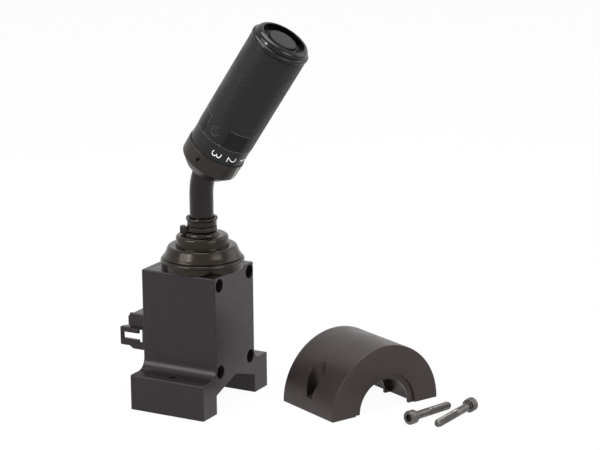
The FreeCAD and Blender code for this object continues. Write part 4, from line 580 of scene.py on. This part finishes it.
# %% Wear, painted light and painted shade on the sleeve
GROOVE_PAINTED_SHADE_FINISH, EDGE_WEAR_AND_HIGHLIGHT_FINISH, PEAK_PAINTED_LIGHT_FINISH = 0, 1, 2
# Half-widths of the grey lines of wear and painted highlight above and beside a patch, and their reach at the foot
# and the plugs.
EDGE_HALF, SIDE_HALF, SIDE_LONG, FOOT_WEAR, FOOT_WAVE = 0.3, 0.7, 7, 0.55, 0.25
PLUG_WEAR = (0.3, 0.8)

for material in (knurl_groove_rubber_painted_shade, edge_rubber_wear_and_highlight, knurl_peak_rubber_painted_light):
    sleeve.data.materials.append(material)
for face in sleeve.data.polygons:
    turn = math.degrees(math.atan2(face.center.y, face.center.x))
    station = face.center.z / MM
    above_patch = abs(station - PATCH_END) < EDGE_HALF and in_patch(turn)
    beside_patch = PATCH_END - SIDE_LONG < station < PATCH_END and abs(turn - PATCHES[0][1]) < SIDE_HALF
    foot = station < SLEEVE_FOOT + FOOT_WEAR + FOOT_WAVE * math.sin(9 * math.radians(turn))
    round_plug = PLUG_WEAR[0] < from_plug(turn, station) < PLUG_WEAR[1]
    # Grey edges are rubbed wear and painted highlight, lighter tops are painted light, grooves are painted shade.
    if above_patch or beside_patch or foot or round_plug:
        face.material_index = EDGE_WEAR_AND_HIGHLIGHT_FINISH
    elif any(sleeve.data.vertices[v].co.xy.length > (PEAK - 0.01) * MM for v in face.vertices):
        face.material_index = PEAK_PAINTED_LIGHT_FINISH
    else:
        face.material_index = GROOVE_PAINTED_SHADE_FINISH
print("worn faces:", sum(face.material_index == EDGE_WEAR_AND_HIGHLIGHT_FINISH for face in sleeve.data.polygons))

# %% Wall of the sleeve
bpy.ops.object.mode_set(mode="EDIT")
bpy.ops.mesh.select_all(action="SELECT")
bpy.ops.mesh.remove_doubles(threshold=0.01 * MM)
bpy.ops.mesh.select_all(action="DESELECT")
bpy.ops.mesh.select_non_manifold()
bpy.ops.mesh.extrude_region_move()
bpy.ops.transform.resize(value=(SLEEVE_BORE / GROOVE, SLEEVE_BORE / GROOVE, 1), center_override=(0, 0, 0))
bpy.ops.mesh.bridge_edge_loops()
settle(sleeve, 20, GRIP)
stand_for(sleeve, "grip_sleeve", knurl_groove_rubber_painted_shade)
print("sleeve faces:", len(sleeve.data.polygons))

# %% [markdown]
# The fixed collar under the number ring is a short cylinder on a steep cone. A set screw sits in a drilled
# hole in its side. The hole is cut with a bar, after the corners of the collar have been rounded.

# %% Grip collar
COLLAR_RADIUS, HOLE_RADIUS, HOLE_STATION = 21.75, 1.75, 19.75
BASE_RINGS = [
    (9.4, 6.0, 0.3), (14.3, 6.0, 0.8), (21.45, 13.5, 0.9), (COLLAR_RADIUS, 25.45, 0.4), (20.85, 25.45, 0),
    (20.85, 23.75, 0), (18.25, 23.75, 0), (18.25, 14.5, 0), (13.5, 14.5, 0), (13.5, 22.55, 0),
    (8.75, 22.55, 0), (8.75, 13.5, 0),
]
collar = lathe("grip_base_dressed", BASE_RINGS, sides=144)
select_none()
bpy.ops.mesh.primitive_cylinder_add(vertices=40, radius=HOLE_RADIUS * MM, depth=16 * MM,
                                    location=(0, -21 * MM, HOLE_STATION * MM),
                                    rotation=(math.radians(90), 0, 0))
drill = bpy.context.object
only(collar)
bpy.ops.object.modifier_apply(modifier="rounding")
hole = collar.modifiers.new("hole", "BOOLEAN")
hole.object = drill
bpy.ops.object.modifier_apply(modifier="hole")
bpy.data.objects.remove(drill)
settle(collar, 35, GRIP)
stand_for(collar, "grip_base", grip_nylon)
print("collar faces:", len(collar.data.polygons))

# %% [markdown]
# The gear numbers are printed in white on the number ring, lying on their sides so that they stand
# upright to the driver. Each is a text object made a mesh, cut into narrow strips so that it can bend,
# and wrapped round the ring. Two rubbed lines on the fixed collar show which number is chosen.

# %% Printing inks
RING_RADIUS = 21.1
# Ink printed from a soft pad lies flat and matt, and is nearly pure white.
white_print = finish("pad_printing_ink_white", "#e9e9e6", "#dcdcd8", 0.5, grain=(0.5, 0.01))
# The same ink, thinned by rubbing, lets the black below show through as grey.
grey_print = finish("pad_printing_ink_white_rubbed", "#c4c4c0", "#a8a8a4", 0.5, grain=(0.5, 0.01))


def wrap(piece, radius, turn, station):
    """Bend a flat mesh round the grip: its X runs down the grip and its Y round it."""
    for vertex in piece.data.vertices:
        angle = math.radians(turn) + vertex.co.y / (radius * MM)
        away = radius * MM + vertex.co.z
        vertex.co = (away * math.cos(angle), away * math.sin(angle), station * MM - vertex.co.x)


def print_on(piece, ink, body):
    """Settle a wrapped mark on the grip, and give it its ink and body."""
    settle(piece, 30, GRIP)
    piece.data.materials.append(ink)
    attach(piece, body)


print("inks:", white_print.name, "and", grey_print.name)

# %% Printed numbers
DIGIT_HIGH, DIGIT_WIDE, DIGIT_THICK, DIGIT_STATION = 7.1, 4.3, 0.11, 31.3
# A negative offset thins the strokes of the letters.
STROKE_OFFSET = -0.018
STRIP_WIDE, STRIP_CUTS = 0.37, 9
FIRST_TURN = -0.4
# The three numbers share the range of the twist, so two steps reach its end.
NUMBER_STEP = twist["range_deg"][1] / 2

for step, digit in enumerate("123"):
    select_none()
    bpy.ops.object.text_add()
    text = bpy.context.object
    text.data.body = digit
    text.data.extrude = DIGIT_THICK * MM
    text.data.offset = STROKE_OFFSET
    bpy.ops.object.convert(target="MESH")
    number = bpy.context.object
    number.name = "number_" + digit
    xs = [v.co.x for v in number.data.vertices]
    ys = [v.co.y for v in number.data.vertices]
    high = DIGIT_HIGH * MM / (max(ys) - min(ys))
    wide = DIGIT_WIDE * MM / (max(xs) - min(xs)) if digit != "1" else high
    for vertex in number.data.vertices:
        vertex.co.x = (vertex.co.x - (max(xs) + min(xs)) / 2) * wide
        vertex.co.y = (vertex.co.y - (max(ys) + min(ys)) / 2) * high
    bpy.ops.object.mode_set(mode="EDIT")
    for cut in range(-STRIP_CUTS, STRIP_CUTS + 1):
        bpy.ops.mesh.select_all(action="SELECT")
        bpy.ops.mesh.bisect(plane_co=(0, cut * STRIP_WIDE * MM, 0), plane_no=(0, 1, 0))
    bpy.ops.object.mode_set(mode="OBJECT")
    wrap(number, RING_RADIUS, FIRST_TURN - step * NUMBER_STEP, DIGIT_STATION)
    print_on(number, white_print, "twist_grip")
print("numbers stand", NUMBER_STEP, "degrees apart")

# %% Index lines
LINE_SIZE, LINE_TURNS, LINE_STATION = (10.2, 0.9, 0.24), (-4.6, 3.6), 20.1

for mark, turn in enumerate(LINE_TURNS, start=1):
    line = soft_box(LINE_SIZE, 0.05, 2)
    line.name = f"index_line_{mark}"
    wrap(line, COLLAR_RADIUS, turn, LINE_STATION)
    print_on(line, grey_print, "lever")
print("index lines:", len(LINE_TURNS))

# %% [markdown]
# A cable tie holds the boot on the lever. Its head is a small moulded box with soft corners, and the
# strap's end was cut off just beside it. The cut end is drawn taller than the strap, a dark block that
# also stands in for the shade beside the head.

# %% Cable tie
STRAP_FOOT, STRAP_WIDE, STRAP_IN, STRAP_OUT = BOOT_FOOT + NECK_FROM, 3.4, 9.85, 10.85
STRAP_TOP = STRAP_FOOT + STRAP_WIDE
STRAP_RINGS = [
    (STRAP_IN, STRAP_FOOT, 0), (STRAP_OUT, STRAP_FOOT, 0.3),
    (STRAP_OUT + 0.05, STRAP_FOOT + STRAP_WIDE / 2, 0),
    (STRAP_OUT, STRAP_TOP, 0.3), (STRAP_IN, STRAP_TOP, 0),
]
# Reach from the lever's axis, heading, size and rounding of the head and of the cut end; the tall cut end also
# stands in for the shade beside the head.
TIE_BITS = [(13.6, 207, (5.6, 4.6, 5.7), 1.3), (12.7, 226, (1.3, 3.2, 6.4), 0.4)]
TIE_BIT_TURN, TIE_BIT_RISE = -62, 0.5

tie = lathe("cable_tie_dressed", STRAP_RINGS)
tie.location.x = LEVER_X
only(tie)
bpy.ops.object.modifier_apply(modifier="rounding")
bpy.ops.object.transform_apply(location=True)
for reach, heading, size, rounding in TIE_BITS:
    bit = soft_box(size, rounding, 4)
    bit.rotation_euler.z = math.radians(TIE_BIT_TURN)
    bit.location = (LEVER_X + reach * math.cos(math.radians(heading)) * MM,
                    reach * math.sin(math.radians(heading)) * MM, (STRAP_FOOT + TIE_BIT_RISE) * MM)
    bpy.ops.object.transform_apply(location=True, rotation=True)
    join_to(tie, bit)
settle(tie, 35)
stand_for(tie, "cable_tie", tie_nylon)
print("tie faces:", len(tie.data.polygons))

# %% [markdown]
# Each clamp screw has a head with a fine straight knurl, a plain shank and a rolled thread. The head and
# the shank are raised ring by ring. The thread is a small ridge wound up the core by the Screw modifier,
# one millimetre for each turn, and the hexagon socket is cut with a six-sided bar.

# %% Sizes of the clamp screws
HEAD_RADIUS, HEAD_HIGH, SHANK_RADIUS, SHANK_LONG, PLAIN_LONG, CORE_RADIUS = 5.0, 6.0, 3.0, 40.0, 15.0, 2.5
SCREW_SIDES, KNURLED_RINGS, KNURL_SHARE = 120, (3, 4), 0.972
HEX, SOCKET_DEEP, PITCH, THREAD_TURNS = 5.0, 3.0, 1.0, 22
TIP, POLE = HEAD_HIGH + SHANK_LONG, 0.05
SCREW_RINGS = [
    (POLE, 0, 0), (HEAD_RADIUS - 0.6, 0, 0), (HEAD_RADIUS - 0.1, 0.35, 0), (HEAD_RADIUS, 0.7, 0),
    (HEAD_RADIUS, HEAD_HIGH - 0.4, 0), (HEAD_RADIUS - 0.2, HEAD_HIGH, 0), (SHANK_RADIUS + 0.25, HEAD_HIGH, 0),
    (SHANK_RADIUS, HEAD_HIGH + 0.3, 0), (SHANK_RADIUS, HEAD_HIGH + PLAIN_LONG, 0),
    (CORE_RADIUS, HEAD_HIGH + PLAIN_LONG + 0.8, 0), (CORE_RADIUS, TIP - 0.8, 0), (CORE_RADIUS - 0.4, TIP, 0),
    (POLE, TIP, 0),
]
# Radius and rise of the four corners of the thread's ridge.
RIDGE = [(2.42, -0.44), (2.97, -0.07), (2.97, 0.07), (2.42, 0.44)]
RIDGE_START = HEAD_HIGH + PLAIN_LONG + 1.4
# A screw lies on its head and its tip, so it leans a little; its place is X and Y in mm and its heading.
LEAN = math.atan((HEAD_RADIUS - SHANK_RADIUS) / (SHANK_LONG - 0.8))
LIE_HEIGHT = HEAD_RADIUS * math.cos(LEAN) + HEAD_HIGH * math.sin(LEAN)
SCREW_PLACES = {"clamp_screw_1": (162.6, 13.6, 76.5), "clamp_screw_2": (189.9, 62.7, -99.0)}
print("screws lean", round(math.degrees(LEAN), 1), "degrees")


# %% Steps of making a screw
def turn_screw(name):
    """Head and shank raised ring by ring, with every second edge of the head let in as a knurl."""
    screw = lathe(name + "_dressed", SCREW_RINGS, sides=SCREW_SIDES, ring_closed=False)
    for index, vertex in enumerate(screw.data.vertices):
        ring, side = divmod(index, SCREW_SIDES)
        if ring in KNURLED_RINGS and side % 2:
            vertex.co.x *= KNURL_SHARE
            vertex.co.y *= KNURL_SHARE
    return screw


def cut_socket(screw):
    """Close the ends of a screw and cut the hexagon socket into its head."""
    select_none()
    bpy.ops.mesh.primitive_cylinder_add(vertices=6, radius=HEX / 2 / math.cos(math.radians(30)) * MM,
                                        depth=2 * SOCKET_DEEP * MM)
    key = bpy.context.object
    only(screw)
    bpy.ops.object.mode_set(mode="EDIT")
    close_up()
    bpy.ops.object.mode_set(mode="OBJECT")
    socket = screw.modifiers.new("socket", "BOOLEAN")
    socket.object = key
    bpy.ops.object.modifier_apply(modifier="socket")
    bpy.data.objects.remove(key)


def wind_thread(screw):
    """Wind the ridge of the thread up the core of a screw."""
    select_none()
    bpy.ops.mesh.primitive_plane_add(size=1)
    ridge = bpy.context.object
    in_turn = sorted(ridge.data.vertices, key=lambda v: math.atan2(v.co.y, v.co.x))
    for vertex, (radius, rise) in zip(in_turn, RIDGE):
        vertex.co = (radius * MM, 0, (RIDGE_START + rise) * MM)
    bpy.ops.object.mode_set(mode="EDIT")
    bpy.ops.mesh.select_all(action="SELECT")
    bpy.ops.mesh.delete(type="ONLY_FACE")
    bpy.ops.object.mode_set(mode="OBJECT")
    winding = ridge.modifiers.new("winding", "SCREW")
    winding.screw_offset = PITCH * MM
    winding.iterations = THREAD_TURNS
    winding.steps = winding.render_steps = 24
    bpy.ops.object.modifier_apply(modifier="winding")
    join_to(screw, ridge)


# %% Clamp screws
for name, (x, y, heading) in SCREW_PLACES.items():
    screw = turn_screw(name)
    cut_socket(screw)
    wind_thread(screw)
    place = (Matrix.Translation((x * MM, y * MM, LIE_HEIGHT * MM))
             @ Matrix.Rotation(math.radians(heading), 4, "Z")
             @ Matrix.Rotation(math.radians(90) + LEAN, 4, "Y"))
    settle(screw, 30, place)
    stand_for(screw, name, black_oxide)
print("clamp screws:", len(SCREW_PLACES))

# %% [markdown]
# Moulded edges are never sharp. The construction model rounds the large ones, and here a Bevel modifier
# gives all the others a thin round that catches the light. On the housing and the cap the modifier gives
# its new faces the second, paler material of the piece: a painted highlight, which on the cap is partly
# scuffs too. The solids are loose triangles, so a Weld modifier joins them first; the mesh underneath stays as it
# came.

# %% Soft edges on the solids
SHARPEST = math.radians(38)
SOFT_EDGES = {
    0.5: "clamp_cap",
    0.25: "housing_body side_cover plug_socket",
    0.15: "end_ring button_guide button_cap grip_core sleeve_plugs",
}
# Paler edge faces: a painted highlight on the housing, scuffs and painted highlight on the cap.
EDGE_HIGHLIGHT_AND_SCUFFS = {
    "clamp_cap": cap_edge_scuffs_and_highlight,
    "housing_body": housing_edge_painted_highlight,
    "side_cover": housing_edge_painted_highlight,
    "plug_socket": housing_edge_painted_highlight,
}
for width, names in SOFT_EDGES.items():
    for name in names.split():
        weld = nodes[name].modifiers.new("weld", "WELD")
        weld.merge_threshold = 0.002 * MM
        soft = nodes[name].modifiers.new("soft_edges", "BEVEL")
        soft.limit_method = "ANGLE"
        soft.angle_limit = SHARPEST
        soft.width = width * MM
        soft.segments = 2
        if name in EDGE_HIGHLIGHT_AND_SCUFFS:
            nodes[name].data.materials.append(EDGE_HIGHLIGHT_AND_SCUFFS[name])
            soft.material = 1
        shading = nodes[name].modifiers.new("even_shading", "WEIGHTED_NORMAL")
        shading.keep_sharp = True
        shading.weight = 60
print("softened solids:", sum(len(names.split()) for names in SOFT_EDGES.values()))

# %% [markdown]
# The button's return spring stands between the switch carrier and the button, and gets shorter when the
# button goes in. Here it is only given a mesh of its own.

# %% Button spring
spring = nodes["button_spring"]
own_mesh(spring)

# %% [markdown]
# Last, the box round the dressed model is written beside the box round the solids, so that a piece that
# slipped or grew shows at once.

new_low, new_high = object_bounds()
growth = (new_high - new_low) - (cad_high - cad_low)
print("growth in mm:", [round(side / MM, 2) for side in growth])
